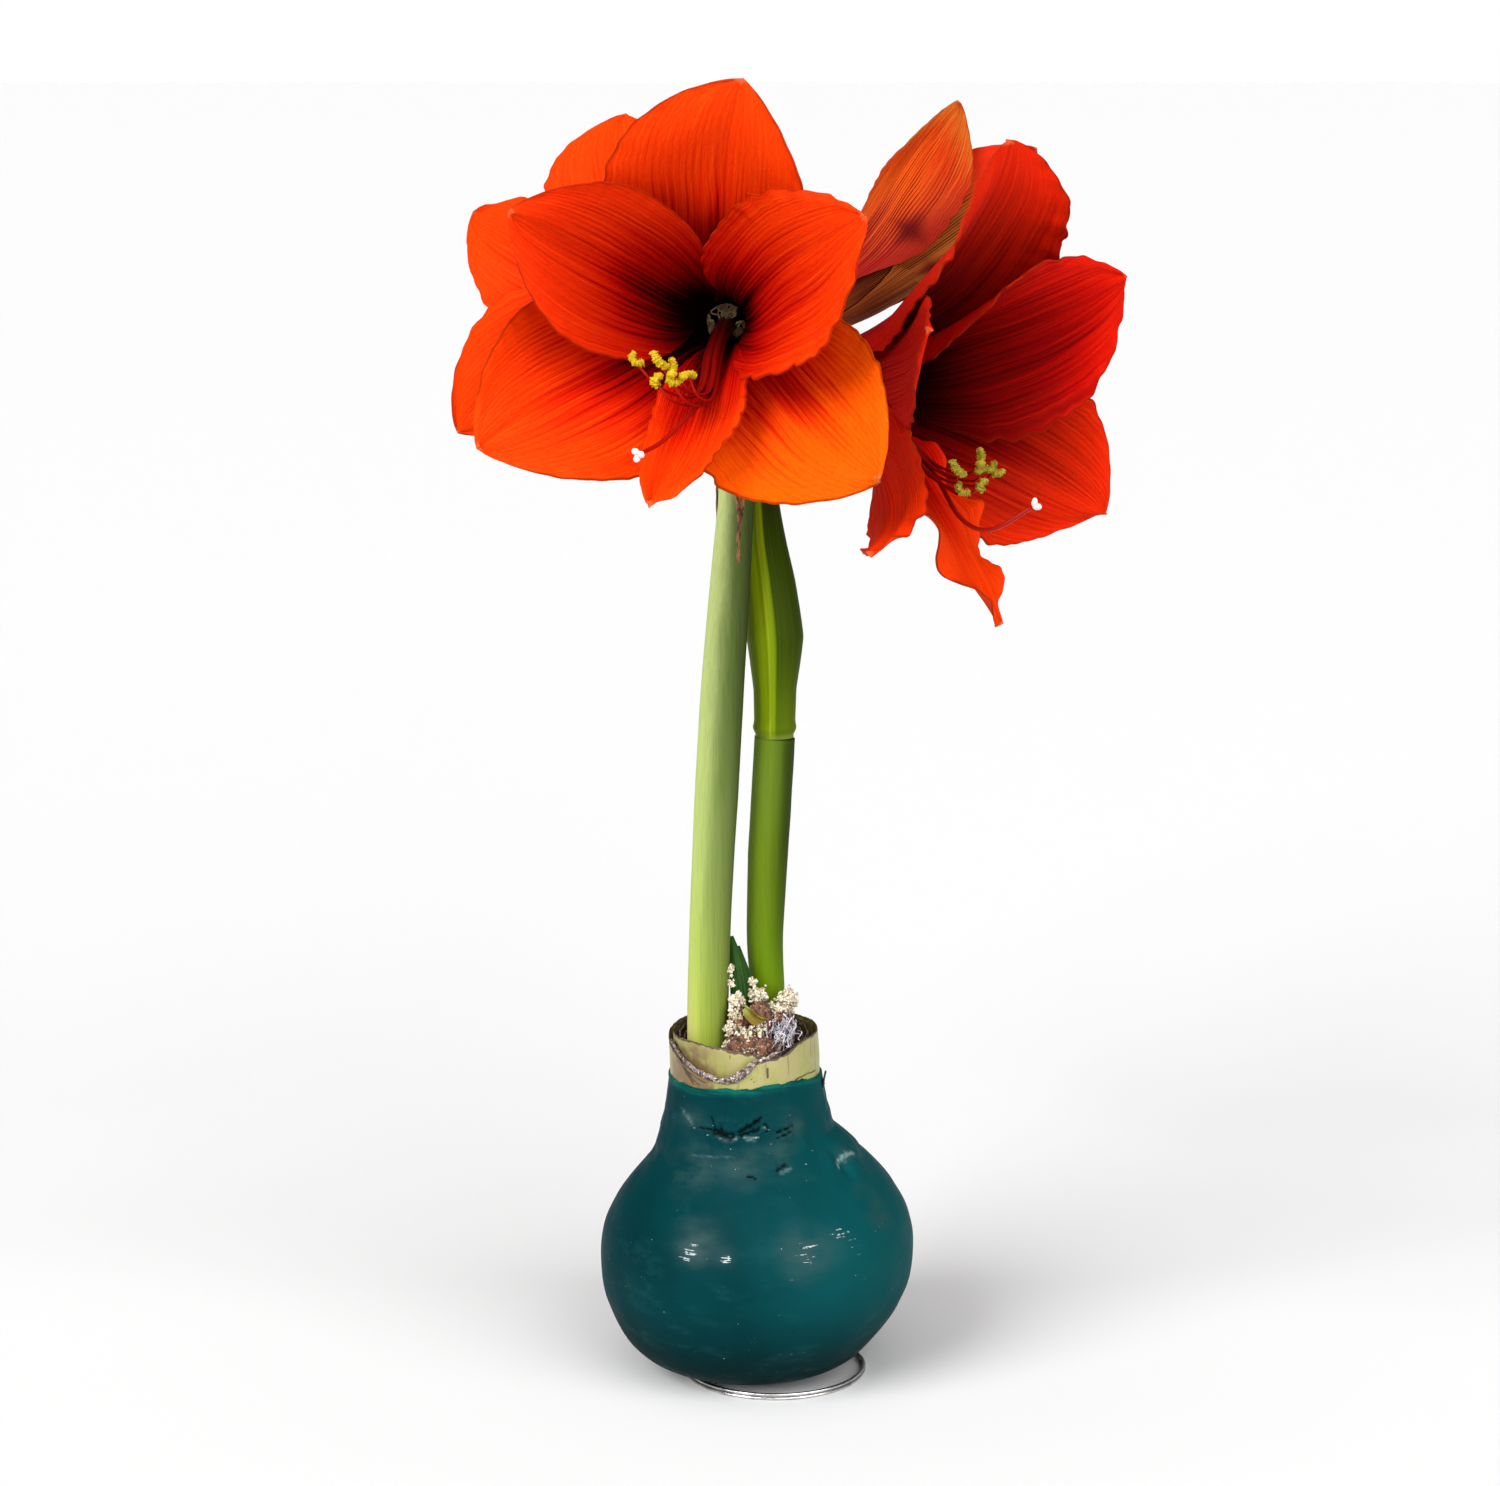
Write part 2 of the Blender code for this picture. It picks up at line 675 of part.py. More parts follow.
def build_dry_tuft():
    """Crumbled and dried scale tips that fill the front of the neck between the scapes."""
    lumps = []
    for index, (centre, half) in enumerate(TUFT_LUMPS):
        shape = bmesh.new()
        bmesh.ops.create_icosphere(shape, subdivisions=2, radius=1.0)
        for k, vertex in enumerate(shape.verts):
            swell = 1.0 + 0.07 * math.sin(7.3 * k + 2.1 * index)
            placed = [c + h * x * swell for c, h, x in zip(centre, half, vertex.co)]
            placed[2] = max(placed[2], NECK_FLOOR + GAP)
            vertex.co = placed
        lumps.append(add_piece("lump", "crumbs", shape))
    join_by_union("dry_tuft", "crumbs", lumps)


# Flowers


def set_frame(flower):
    """The flower's right, up and axis directions in the world."""
    facing = math.radians(flower.facing)
    lift = math.radians(flower.lift)
    axis = Vector((math.sin(facing) * math.cos(lift), -math.cos(facing) * math.cos(lift), math.sin(lift)))
    up = (Vector((0, 0, 1)) - axis * axis.z).normalized()
    right = up.cross(axis)
    flower.frame = (right, up, axis)


def place(flower, point):
    """A point of the flower's own frame, in the world."""
    right, up, axis = flower.frame
    return Vector(flower.throat) + right * point[0] + up * point[1] + axis * point[2]


class TepalSurface:
    """The middle surface of one tepal, in the flower's frame."""

    STEPS = 80

    def __init__(self, flower, index):
        self.flower = flower
        self.tepal = flower.tepals[index]
        self.clock = math.radians(60 * index + flower.spin)
        outer = (index % 2 == 0) == flower.outer_first
        self.start = flower.base_outer if outer else flower.base_inner
        root = Vector((math.sin(self.clock), math.cos(self.clock), 0.0))
        self.centres = [root * THROAT_RADIUS]
        step = self.tepal.length / self.STEPS
        for i in range(self.STEPS):
            s = (i + 0.5) / self.STEPS
            self.centres.append(self.centres[-1] + self.ahead(s) * step)

    def opening(self, s):
        """The angle between the centre line and the axis at share s."""
        t = self.tepal
        if s < 0.5:
            return math.radians(mix(self.start, t.mid, smooth(2 * s)))
        return math.radians(mix(t.mid, t.tip, (2 * s - 1) ** 1.3))

    def turn(self, s):
        """The clock angle of the tepal at share s."""
        t = self.tepal
        return self.clock + math.radians(t.swing) * smooth(s / 0.35) + math.radians(t.bend) * s * s

    def outward(self, s):
        clock = self.turn(s)
        return Vector((math.sin(clock), math.cos(clock), 0.0))

    def ahead(self, s):
        angle = self.opening(s)
        return self.outward(s) * math.sin(angle) + Vector((0, 0, math.cos(angle)))

    def centre(self, s):
        at = min(max(s, 0.0), 1.0) * self.STEPS
        i = min(int(at), self.STEPS - 1)
        return self.centres[i].lerp(self.centres[i + 1], at - i)

    def half_width(self, s):
        t = self.tepal
        power = math.log(0.5) / math.log(t.widest)
        start = THROAT_RADIUS * math.pi / 6 * (1 - s) ** 12
        fullness = t.fullness if s > t.widest else 1.1
        return start + t.width * max(math.sin(math.pi * min(s, 1.0) ** power), 0.0) ** fullness

    def point(self, s, v):
        """The surface at share s of its length, v from -1 at the left edge to 1 at the right."""
        t = self.tepal
        clock = self.turn(s)
        side = Vector((math.cos(clock), -math.sin(clock), 0.0))
        ahead = self.ahead(s)
        inward = side.cross(ahead)
        turn = math.radians(t.twist) * smooth(s)
        side, inward = turned(side, inward, turn)
        centre = self.centre(s)
        reach = max(math.hypot(centre.x, centre.y), THROAT_RADIUS)
        wrap = self.flower.wrap
        flare = smooth((s - wrap) / (1.0 - wrap)) if wrap < 1 else 0.0
        bow = mix(1.0 / reach, t.cup, flare)
        across = v * self.half_width(s) * (t.left if v < 0 else t.right)
        if abs(bow) > 1e-3:
            x, y = math.sin(bow * across) / bow, (1 - math.cos(bow * across)) / bow
        else:
            x, y = across, 0.0
        edge = abs(v) ** 2.5 * smooth((s - 0.15) / 0.4)
        phase = 0.9 if v > 0 else 2.3
        y += t.ruffle * edge * math.sin(math.tau * t.waves * s + phase)
        return centre + side * x + inward * y

    def normal(self, s, v):
        d = 0.01
        along = self.point(min(s + d, 0.998), v) - self.point(max(s - d, 0.0), v)
        across = self.point(min(s, 0.99), min(v + d, 1.0)) - self.point(min(s, 0.99), max(v - d, -1.0))
        return across.cross(along).normalized()


def build_perianth(flower):
    """Six tepals that grow out of one cup, raised as one closed skin."""
    shape = bmesh.new()
    half = TEPAL_THICKNESS / 2
    around = 6 * TEPAL_COLUMNS

    def cup_ring(radius, height):
        ring = []
        for k in range(around):
            clock = math.radians(flower.spin) + math.tau * (k / around) - math.pi / 6
            point = (radius * math.sin(clock), radius * math.cos(clock), height)
            ring.append(shape.verts.new(place(flower, point)))
        return ring

    inner_ring = cup_ring(THROAT_RADIUS - half, 0.0)
    outer_ring = cup_ring(THROAT_RADIUS + half, 0.0)
    for index in range(6):
        surface = TepalSurface(flower, index)
        first = index * TEPAL_COLUMNS
        inner = [[inner_ring[(first + c) % around] for c in range(TEPAL_COLUMNS + 1)]]
        outer = [[outer_ring[(first + c) % around] for c in range(TEPAL_COLUMNS + 1)]]
        for s in TEPAL_STATIONS[1:-1]:
            rows = ([], [])
            for c in range(TEPAL_COLUMNS + 1):
                v = 2 * c / TEPAL_COLUMNS - 1
                point, normal = surface.point(s, v), surface.normal(s, v)
                rows[0].append(shape.verts.new(place(flower, point + normal * half)))
                rows[1].append(shape.verts.new(place(flower, point - normal * half)))
            inner.append(rows[0])
            outer.append(rows[1])
        tip, normal = surface.point(1.0, 0.0), surface.normal(0.97, 0.0)
        inner_tip = shape.verts.new(place(flower, tip + normal * half))
        outer_tip = shape.verts.new(place(flower, tip - normal * half))
        for i in range(len(inner) - 1):
            for c in range(TEPAL_COLUMNS):
                add_cell(shape, inner, i, c, False)
                add_cell(shape, outer, i, c, True)
            for c in (0, TEPAL_COLUMNS):
                shape.faces.new((inner[i][c], inner[i + 1][c], outer[i + 1][c], outer[i][c]))
        for c in range(TEPAL_COLUMNS):
            shape.faces.new((inner[-1][c], inner[-1][c + 1], inner_tip))
            shape.faces.new((outer[-1][c + 1], outer[-1][c], outer_tip))
        for c in (0, TEPAL_COLUMNS):
            shape.faces.new((inner[-1][c], inner_tip, outer_tip, outer[-1][c]))
    outside = [outer_ring, cup_ring(CUP_FOOT_RADIUS + half, -CUP_LENGTH)]
    inside = [inner_ring, cup_ring(CUP_FOOT_RADIUS - half, CUP_FLOOR - CUP_LENGTH)]
    for rings in (outside, inside):
        for low, high in zip(rings, rings[1:]):
            for k in range(around):
                after = (k + 1) % around
                shape.faces.new((low[k], low[after], high[after], high[k]))
        shape.faces.new(rings[-1])
    add_piece("bloom_" + flower.name, "tepals", shape)


def bundle(flower, t):
    """The middle of the six filaments, from the throat (0) to their low point (1)."""
    low = Vector(flower.stamen_low)
    return spline(((0, 0, -0.0035), (0.45 * low.x, 0.26 * low.y, 0.44 * low.z), low), t)


def filament_line(flower, clock, index):
    """A filament's line: out of the throat, down to the bundle's low point and up to its anther."""
    fan = Vector((math.sin(clock), 0.75 * math.cos(clock), 0.0))
    root = Vector((math.sin(clock), math.cos(clock), 0.0)) * (THROAT_RADIUS - 0.0022)
    line = [bundle(flower, 0.0) + root]
    line += [bundle(flower, t) + fan * 0.0036 for t in (0.33, 0.66, 1.0)]
    end = Vector(flower.stamen_end) + fan * flower.spread + Vector((0, 0, 0.003 * math.cos(2.4 * index)))
    before = line[-1] * 2 - line[-2]
    line.append(line[-1].lerp(end, 0.5) + (before - line[-1]) * 0.12)
    line.append(end)
    return line


def build_stamens(flower):
    """Six filaments on one ring in the throat, each with its anther."""
    seat = THROAT_RADIUS - TEPAL_THICKNESS / 2 - GAP - 0.0002
    outline = ((seat, -0.0028), (seat - 0.0016, -0.0028), (seat - 0.0016, -0.0042), (seat - 0.0004, -0.0042))
    rings = []
    for radius, height in outline:
        turns = [math.tau * k / 12 for k in range(12)]
        rings.append([place(flower, (radius * math.sin(a), radius * math.cos(a), height)) for a in turns])
    parts = [add_piece("ring", "stamens", loft(rings, closed=True))]
    for i in range(6):
        clock = math.radians(60 * i + 30 + flower.spin)
        line = [place(flower, p) for p in filament_line(flower, clock, i)]
        parts.append(add_piece("filament", "stamens", loft(tube_rings(line, [0.0006] * len(line), 4))))
        lean = Vector((math.sin(1.7 * i), -0.3, math.cos(1.7 * i))).normalized()
        anther = [line[-1] + lean * x for x in (-0.0034, -0.0016, 0.0016, 0.0034)]
        rings = tube_rings(anther, [0.0006, 0.0014, 0.0014, 0.0006], 4)
        parts.append(add_piece("anther", "stamens", loft(rings)))
    join_by_union("stamens_" + flower.name, "stamens", parts)


def build_style(flower):
    """The style, rooted in the cup's floor, with its three-lobed stigma."""
    foot = Vector((0, 0, CUP_FLOOR - CUP_LENGTH + GAP))
    line = [foot] + [bundle(flower, t) for t in (0.0, 0.33, 0.66, 1.0)]
    knots = (line[-2], line[-1], Vector(flower.style_low), Vector(flower.style_end))
    line += [spline(knots, t) for t in (0.5, 0.667, 0.84, 1.0)]
    line = [place(flower, p) for p in line]
    parts = [add_piece("stalk", "style", loft(tube_rings(line, [0.0008] * len(line), 5)))]
    tip = line[-1]
    right, up, axis = flower.frame
    for i in range(3):
        angle = math.tau * i / 3
        lobe = (right * math.cos(angle) + up * math.sin(angle)) * 0.0012
        centres = [tip - axis * 0.0008, tip + lobe + axis * 0.0006, tip + lobe * 2 + axis * 0.0018]
        parts.append(add_piece("lobe", "style", loft(tube_rings(centres, [0.0007, 0.0011, 0.0006], 5))))
    join_by_union("style_" + flower.name, "style", parts)


def build_pedicel(flower):
    """The flower's stalk, which swells into the ovary below the cup."""
    top = Vector(TALL_SCAPE_LINE[-1])
    start = top + Vector((flower.foot[0], flower.foot[1], GAP))
    axis = flower.frame[2]
    end = place(flower, (0, 0, -CUP_LENGTH - GAP))
    neck = end - axis * OVARY_LENGTH
    span = (neck - start).length
    out = start + Vector((flower.lean[0], flower.lean[1], 0.4 * span))
    back = neck - axis * (0.12 * span)
    line, radii = [], []
    for i in range(7):
        t = i / 6
        weights = ((1 - t) ** 3, 3 * t * (1 - t) ** 2, 3 * t * t * (1 - t), t**3)
        line.append(start * weights[0] + out * weights[1] + back * weights[2] + neck * weights[3])
        radii.append(mix(0.0021, 0.0025, t))
    for share, radius in ((0.35, 0.0034), (0.7, 0.0036), (1.0, 0.0034)):
        line.append(neck.lerp(end, share))
        radii.append(radius)
    rings = tube_rings(line, radii, 8, first_side=(1, 0, 0))
    level_ends(rings, start.z)
    add_piece("pedicel_" + flower.name, "pedicel", loft(rings))


def clear_scene():
    for thing in list(bpy.data.objects):
        bpy.data.objects.remove(thing)


def main():
    clear_scene()
    build_wire_stand()
    build_wax_coat()
    build_bulb()
    build_scapes()
    build_spathe_bud()
    build_bracts()
    build_leaf_tips()
    build_dry_tuft()
    for flower in FLOWERS:
        set_frame(flower)
        build_perianth(flower)
        build_stamens(flower)
        build_style(flower)
        build_pedicel(flower)


if __name__ == "__main__":
    main()
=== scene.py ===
"""The looks of a waxed amaryllis bulb in flower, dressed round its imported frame.

A bulb in a coat of dark teal wax stands on a ring of wire. Its tall scape carries four red flowers,
its short one a closed bud. Metres, +Z up, the viewer of the front at -Y. Clock angles are read by
someone who looks straight into a flower: 0 is up, and angles grow clockwise.
"""

import logging
import random
from dataclasses import dataclass
from enum import Enum
from math import cos, degrees, exp, hypot, log, pi, radians, sin, sqrt, tau
from typing import Callable, Optional, Sequence, Union

import bpy
from bpy.types import Material, Node, NodeSocket, Object
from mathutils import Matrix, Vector, noise


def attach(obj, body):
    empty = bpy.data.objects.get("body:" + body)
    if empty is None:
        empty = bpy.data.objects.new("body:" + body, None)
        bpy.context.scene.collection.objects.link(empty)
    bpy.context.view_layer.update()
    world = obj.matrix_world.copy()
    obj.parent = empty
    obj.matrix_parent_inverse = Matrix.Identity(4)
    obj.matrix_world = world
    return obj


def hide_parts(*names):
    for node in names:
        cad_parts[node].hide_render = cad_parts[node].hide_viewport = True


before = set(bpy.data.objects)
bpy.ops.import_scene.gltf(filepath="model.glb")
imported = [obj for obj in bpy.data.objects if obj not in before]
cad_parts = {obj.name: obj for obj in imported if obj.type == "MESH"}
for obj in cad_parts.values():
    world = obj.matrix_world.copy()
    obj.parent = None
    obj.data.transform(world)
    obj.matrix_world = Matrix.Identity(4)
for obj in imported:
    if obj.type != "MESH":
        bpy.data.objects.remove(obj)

LOG = logging.getLogger("amaryllis")
ROOT_BODY = "root"
PLAN_SHIFT = Vector((-0.0011, -0.0063, 0.0))  # brings the middle of the whole plant over the origin
MERGE = 2e-6  # points closer than this are one

Point = tuple[float, float, float]
Line = tuple[Point, ...]
Spots = tuple[tuple[Point, float], ...]
Colour = tuple[float, float, float]
Stops = tuple[tuple[float, Colour], ...]
Place = Callable[[float, float], Vector]  # a sheet's point for u and v, each from 0 to 1
Reach = Callable[[float, float], float]  # a tube's radius for a turn angle and a share of its length
Rim = Callable[[float], float]  # an edge's height for an angle round the bulb


class Slot(Enum):
    """The record's material slots."""

    TEPALS = "tepals"
    STAMENS = "stamens"
    STYLE = "style"
    PEDICEL = "pedicel"
    TALL_SCAPE = "tall_scape"
    SHORT_SCAPE = "short_scape"
    SPATHE = "spathe"
    DRY_BRACT = "dry_bract"
    LEAF = "leaf"
    CRUMBS = "crumbs"
    BULB = "bulb"
    WAX = "wax"
    WIRE = "wire"


# Numbers and directions


def mix(a: float, b: float, t: float) -> float:
    """The value at share t between a and b."""
    return a + (b - a) * t


def smooth(t: float) -> float:
    """A soft step from 0 to 1."""
    t = max(0.0, min(1.0, t))
    return t * t * (3.0 - 2.0 * t)


def bell(x: float, width: float) -> float:
    """A soft hump of height 1 round 0."""
    return exp(-((x / width) ** 2))


def wobble(x: float, y: float, z: float = 0.0) -> float:
    """Smooth noise from about -1 to 1."""
    return noise.noise(Vector((x, y, z)))


def along_list(values: Sequence[float], t: float) -> float:
    """Reads a list as a line that runs straight from value to value.

    Args:
        values: The evenly spread values.
        t: The share of the list's length.

    Returns:
        The value there.
    """
    at = min(max(t, 0.0), 1.0) * (len(values) - 1)
    i = min(int(at), len(values) - 2)
    return mix(values[i], values[i + 1], at - i)


def along_table(table: Sequence[tuple[float, float]], x: float) -> float:
    """Reads a table of two columns, straight between its rows.

    Args:
        table: Rows in rising order of their first number.
        x: A value of the first column.

    Returns:
        The second column's value.
    """
    for (low, a), (high, b) in zip(table, table[1:]):
        if x <= high:
            break
    return mix(a, b, min(max((x - low) / (high - low), 0.0), 1.0))


def spline(points: Sequence[Sequence[float]], t: float) -> Vector:
    """Follows the smooth curve through a few points.

    Args:
        points: The points that it passes.
        t: The share of the way, with equal shares from point to point.

    Returns:
        The point there.
    """
    knots = [Vector(p) for p in points]
    last = len(knots) - 1
    at = min(max(t, 0.0), 1.0) * last
    i = min(int(at), last - 1)
    u = at - i
    a = knots[i - 1] if i > 0 else 2 * knots[0] - knots[1]
    b, c = knots[i], knots[i + 1]
    d = knots[i + 2] if i + 2 <= last else 2 * knots[last] - knots[last - 1]
    return 0.5 * (2 * b + (c - a) * u + (2 * a - 5 * b + 4 * c - d) * u**2 + (3 * b - a - 3 * c + d) * u**3)


def turned(a: Vector, b: Vector, angle: float) -> tuple[Vector, Vector]:
    """Two square directions, both turned by an angle in their own plane."""
    return a * cos(angle) + b * sin(angle), b * cos(angle) - a * sin(angle)


def compass(angle: float) -> Vector:
    """The level direction at an angle round from +X."""
    return Vector((cos(angle), sin(angle), 0.0))


def clockwise(clock: float) -> Vector:
    """The direction at a clock angle, in a flower's own plane."""
    return Vector((sin(clock), cos(clock), 0.0))


def raised(z: float) -> Vector:
    """A move straight along the third axis."""
    return Vector((0.0, 0.0, z))


def off(angle: float, middle: float = 0.0) -> float:
    """How far an angle in radians is from a middle in degrees, in degrees from -180 to 180."""
    return (degrees(angle) - middle + 180) % 360 - 180


def rounded(t: float, end: float) -> float:
    """A factor that closes a tube's radius in round ends, each a share of its length."""
    near = min(t, 1.0 - t) / end
    return sqrt(max(1.0 - (1.0 - min(near, 1.0)) ** 2, 0.0))


def taper(foot: float, tip: float, end: float) -> Reach:
    """The radius of a tube that runs evenly from foot to tip, with round ends."""
    return lambda angle, t: mix(foot, tip, t) * rounded(t, end)


# Shader writing


class Value:
    """A number in a shader, which grows Math nodes when it is used in an expression."""

    def __init__(self, recipe: "Recipe", socket: NodeSocket) -> None:
        """Wraps one output socket of a recipe's node."""
        self.recipe = recipe
        self.socket = socket

    def _math(self, operation: str, *numbers: "Operand") -> "Value":
        """A Math node on these numbers."""
        made = self.recipe.node("ShaderNodeMath", {"operation": operation}, dict(enumerate(numbers)))
        return Value(self.recipe, made.outputs[0])

    def __add__(self, other: "Operand") -> "Value":
        """self + other."""
        return self._math("ADD", self, other)

    def __mul__(self, other: "Operand") -> "Value":
        """self * other."""
        return self._math("MULTIPLY", self, other)

    __radd__, __rmul__ = __add__, __mul__

    def __sub__(self, other: "Operand") -> "Value":
        """self - other."""
        return self._math("SUBTRACT", self, other)

    def __rsub__(self, other: "Operand") -> "Value":
        """other - self."""
        return self._math("SUBTRACT", other, self)

    def __pow__(self, other: "Operand") -> "Value":
        """self to a power."""
        return self._math("POWER", self, other)

    def __abs__(self) -> "Value":
        """self without its sign."""
        return self._math("ABSOLUTE", self)

    def clipped(self) -> "Value":
        """self held between 0 and 1."""
        return self._math("MINIMUM", self._math("MAXIMUM", self, 0.0), 1.0)

    def zigzag(self) -> "Value":
        """1 at every whole number and 0 half way between."""
        return 1.0 - self._math("PINGPONG", self, 0.5) * 2.0

    def rise(self, low: float, high: float) -> "Value":
        """A soft step, which falls instead if high is below low.

        Args:
            low: Where it is 0.
            high: Where it is 1.

        Returns:
            The step, from 0 to 1.
        """
        settings = {"interpolation_type": "SMOOTHSTEP"}
        limits = (high, low, 1.0, 0.0) if high < low else (low, high, 0.0, 1.0)
        inputs = dict(zip(("Value", "From Min", "From Max", "To Min", "To Max"), (self, *limits)))
        return Value(self.recipe, self.recipe.node("ShaderNodeMapRange", settings, inputs).outputs[0])


Operand = Union[Value, float]
Input = Union[Value, NodeSocket, float, Sequence[float]]


class Recipe:
    """A material being written: one Principled shader and the nodes that feed it."""

    def __init__(self, name: str, **constants: Union[float, Colour]) -> None:
        """Starts a material.

        Args:
            name: The material's name.
            constants: Values for the shader's own sockets, with _ for a space.
        """
        self.material = bpy.data.materials.new(name)
        self.material.use_nodes = True
        self.tree = self.material.node_tree
        self.shader = self.tree.nodes["Principled BSDF"]
        self.base: Input = 0.0
        for key, value in constants.items():
            self.shader.inputs[key.replace("_", " ")].default_value = value

    def node(self, kind: str, settings: dict, inputs: dict) -> Node:
        """Adds a node.

        Args:
            kind: The node's type.
            settings: Its properties, set first; stops fill a colour ramp.
            inputs: Values or links of its sockets, by name or number.

        Returns:
            The new node.
        """
        made = self.tree.nodes.new(kind)
        for key, value in settings.items():
            if key == "stops":
                band = made.color_ramp.elements
                while len(band) < len(value):
                    band.new(0.5)
                for element, (place, colour) in zip(band, value):
                    element.position = place
                    element.color = (*colour, 1.0)
            else:
                setattr(made, key, value)
        for key, value in inputs.items():
            if isinstance(value, Value):
                self.tree.links.new(value.socket, made.inputs[key])
            elif isinstance(value, NodeSocket):
                self.tree.links.new(value, made.inputs[key])
            else:
                made.inputs[key].default_value = value
        return made

    def place(self) -> NodeSocket:
        """The point in the part's own frame."""
        return self.node("ShaderNodeTexCoord", {}, {}).outputs["Object"]

    def map(self, name: str) -> tuple[Value, Value]:
        """The two coordinates of one of the piece's own maps."""
        made = self.node("ShaderNodeUVMap", {"uv_map": name}, {})
        return self.parts(made.outputs[0])[:2]

    def mark(self, name: str) -> Value:
        """A number that the mesh carries at its points."""
        made = self.node("ShaderNodeAttribute", {"attribute_name": name}, {})
        return Value(self, made.outputs["Fac"])

    def parts(self, vector: NodeSocket) -> tuple[Value, Value, Value]:
        """The three coordinates of a vector."""
        made = self.node("ShaderNodeSeparateXYZ", {}, {0: vector})
        return tuple(Value(self, made.outputs[i]) for i in range(3))

    def vector(self, x: Input, y: Input, z: Input) -> NodeSocket:
        """A vector from three coordinates."""
        return self.node("ShaderNodeCombineXYZ", {}, {0: x, 1: y, 2: z}).outputs[0]

    def stretched(self, vector: Input, by: Sequence[float]) -> NodeSocket:
        """A vector scaled along each axis."""
        return self.node("ShaderNodeVectorMath", {"operation": "MULTIPLY"}, {0: vector, 1: by}).outputs[0]

    def noise(self, vector: Input, scale: float, detail: float = 2.0, rough: float = 0.5) -> Value:
        """Smooth noise, from 0 to 1."""
        inputs = {"Vector": vector, "Scale": scale, "Detail": detail, "Roughness": rough}
        return Value(self, self.node("ShaderNodeTexNoise", {}, inputs).outputs[0])

    def grain(self, x: Input, y: Input, z: Input, detail: float = 2.0, rough: float = 0.5) -> Value:
        """Smooth noise over three numbers, finer along one that is multiplied."""
        return self.noise(self.vector(x, y, z), 1.0, detail, rough)

    def cells(self, vector: Input, scale: float) -> Value:
        """The distance to the edges between scattered cells."""
        settings, inputs = {"feature": "DISTANCE_TO_EDGE"}, {"Vector": vector, "Scale": scale}
        return Value(self, self.node("ShaderNodeTexVoronoi", settings, inputs).outputs[0])

    def near(self, vector: Input, centre: Sequence[float], radius: float) -> Value:
        """1 at a point, softly down to 0 at a distance from it."""
        made = self.node("ShaderNodeVectorMath", {"operation": "DISTANCE"}, {0: vector, 1: centre})
        return Value(self, made.outputs["Value"]).rise(radius, 0.0)

    def ramp(self, value: Input, stops: Stops) -> NodeSocket:
        """A colour for each value."""
        return self.node("ShaderNodeValToRGB", {"stops": stops}, {0: value}).outputs[0]

    def blend(self, share: Input, a: Input, b: Input, mode: str = "MIX") -> NodeSocket:
        """Lays one colour over another.

        Args:
            share: How much of b covers a, from 0 to 1.
            a: The colour below.
            b: The colour above.
            mode: How they mix.

        Returns:
            The mixed colour.
        """
        pair = [(*x, 1.0) if isinstance(x, tuple) else x for x in (a, b)]
        settings = {"data_type": "RGBA", "blend_type": mode}
        return self.node("ShaderNodeMix", settings, {0: share, 6: pair[0], 7: pair[1]}).outputs[2]

    def coat(self, share: Input, colour: Input, mode: str = "MIX") -> None:
        """Lays a colour over the base colour."""
        self.base = self.blend(share, self.base, colour, mode)

    def feed(self, name: str, value: Input) -> None:
        """Links a value to the shader's socket."""
        socket = value.socket if isinstance(value, Value) else value
        self.tree.links.new(socket, self.shader.inputs[name])

    def finish(self, roughness: Input, height: Input, depth: float) -> Material:
        """Feeds the shader its base colour and what every finish has.

        Args:
            roughness: From 0 to 1.
            height: The relief, from 0 to 1.
            depth: How high a relief of 1 stands, in metres.

        Returns:
            The finished material.
        """
        self.feed("Base Color", self.base)
        self.feed("Roughness", roughness)
        bump = self.node("ShaderNodeBump", {}, {"Height": height, "Distance": depth, "Strength": 1.0})
        self.feed("Normal", bump.outputs[0])
        return self.material


# Finishes


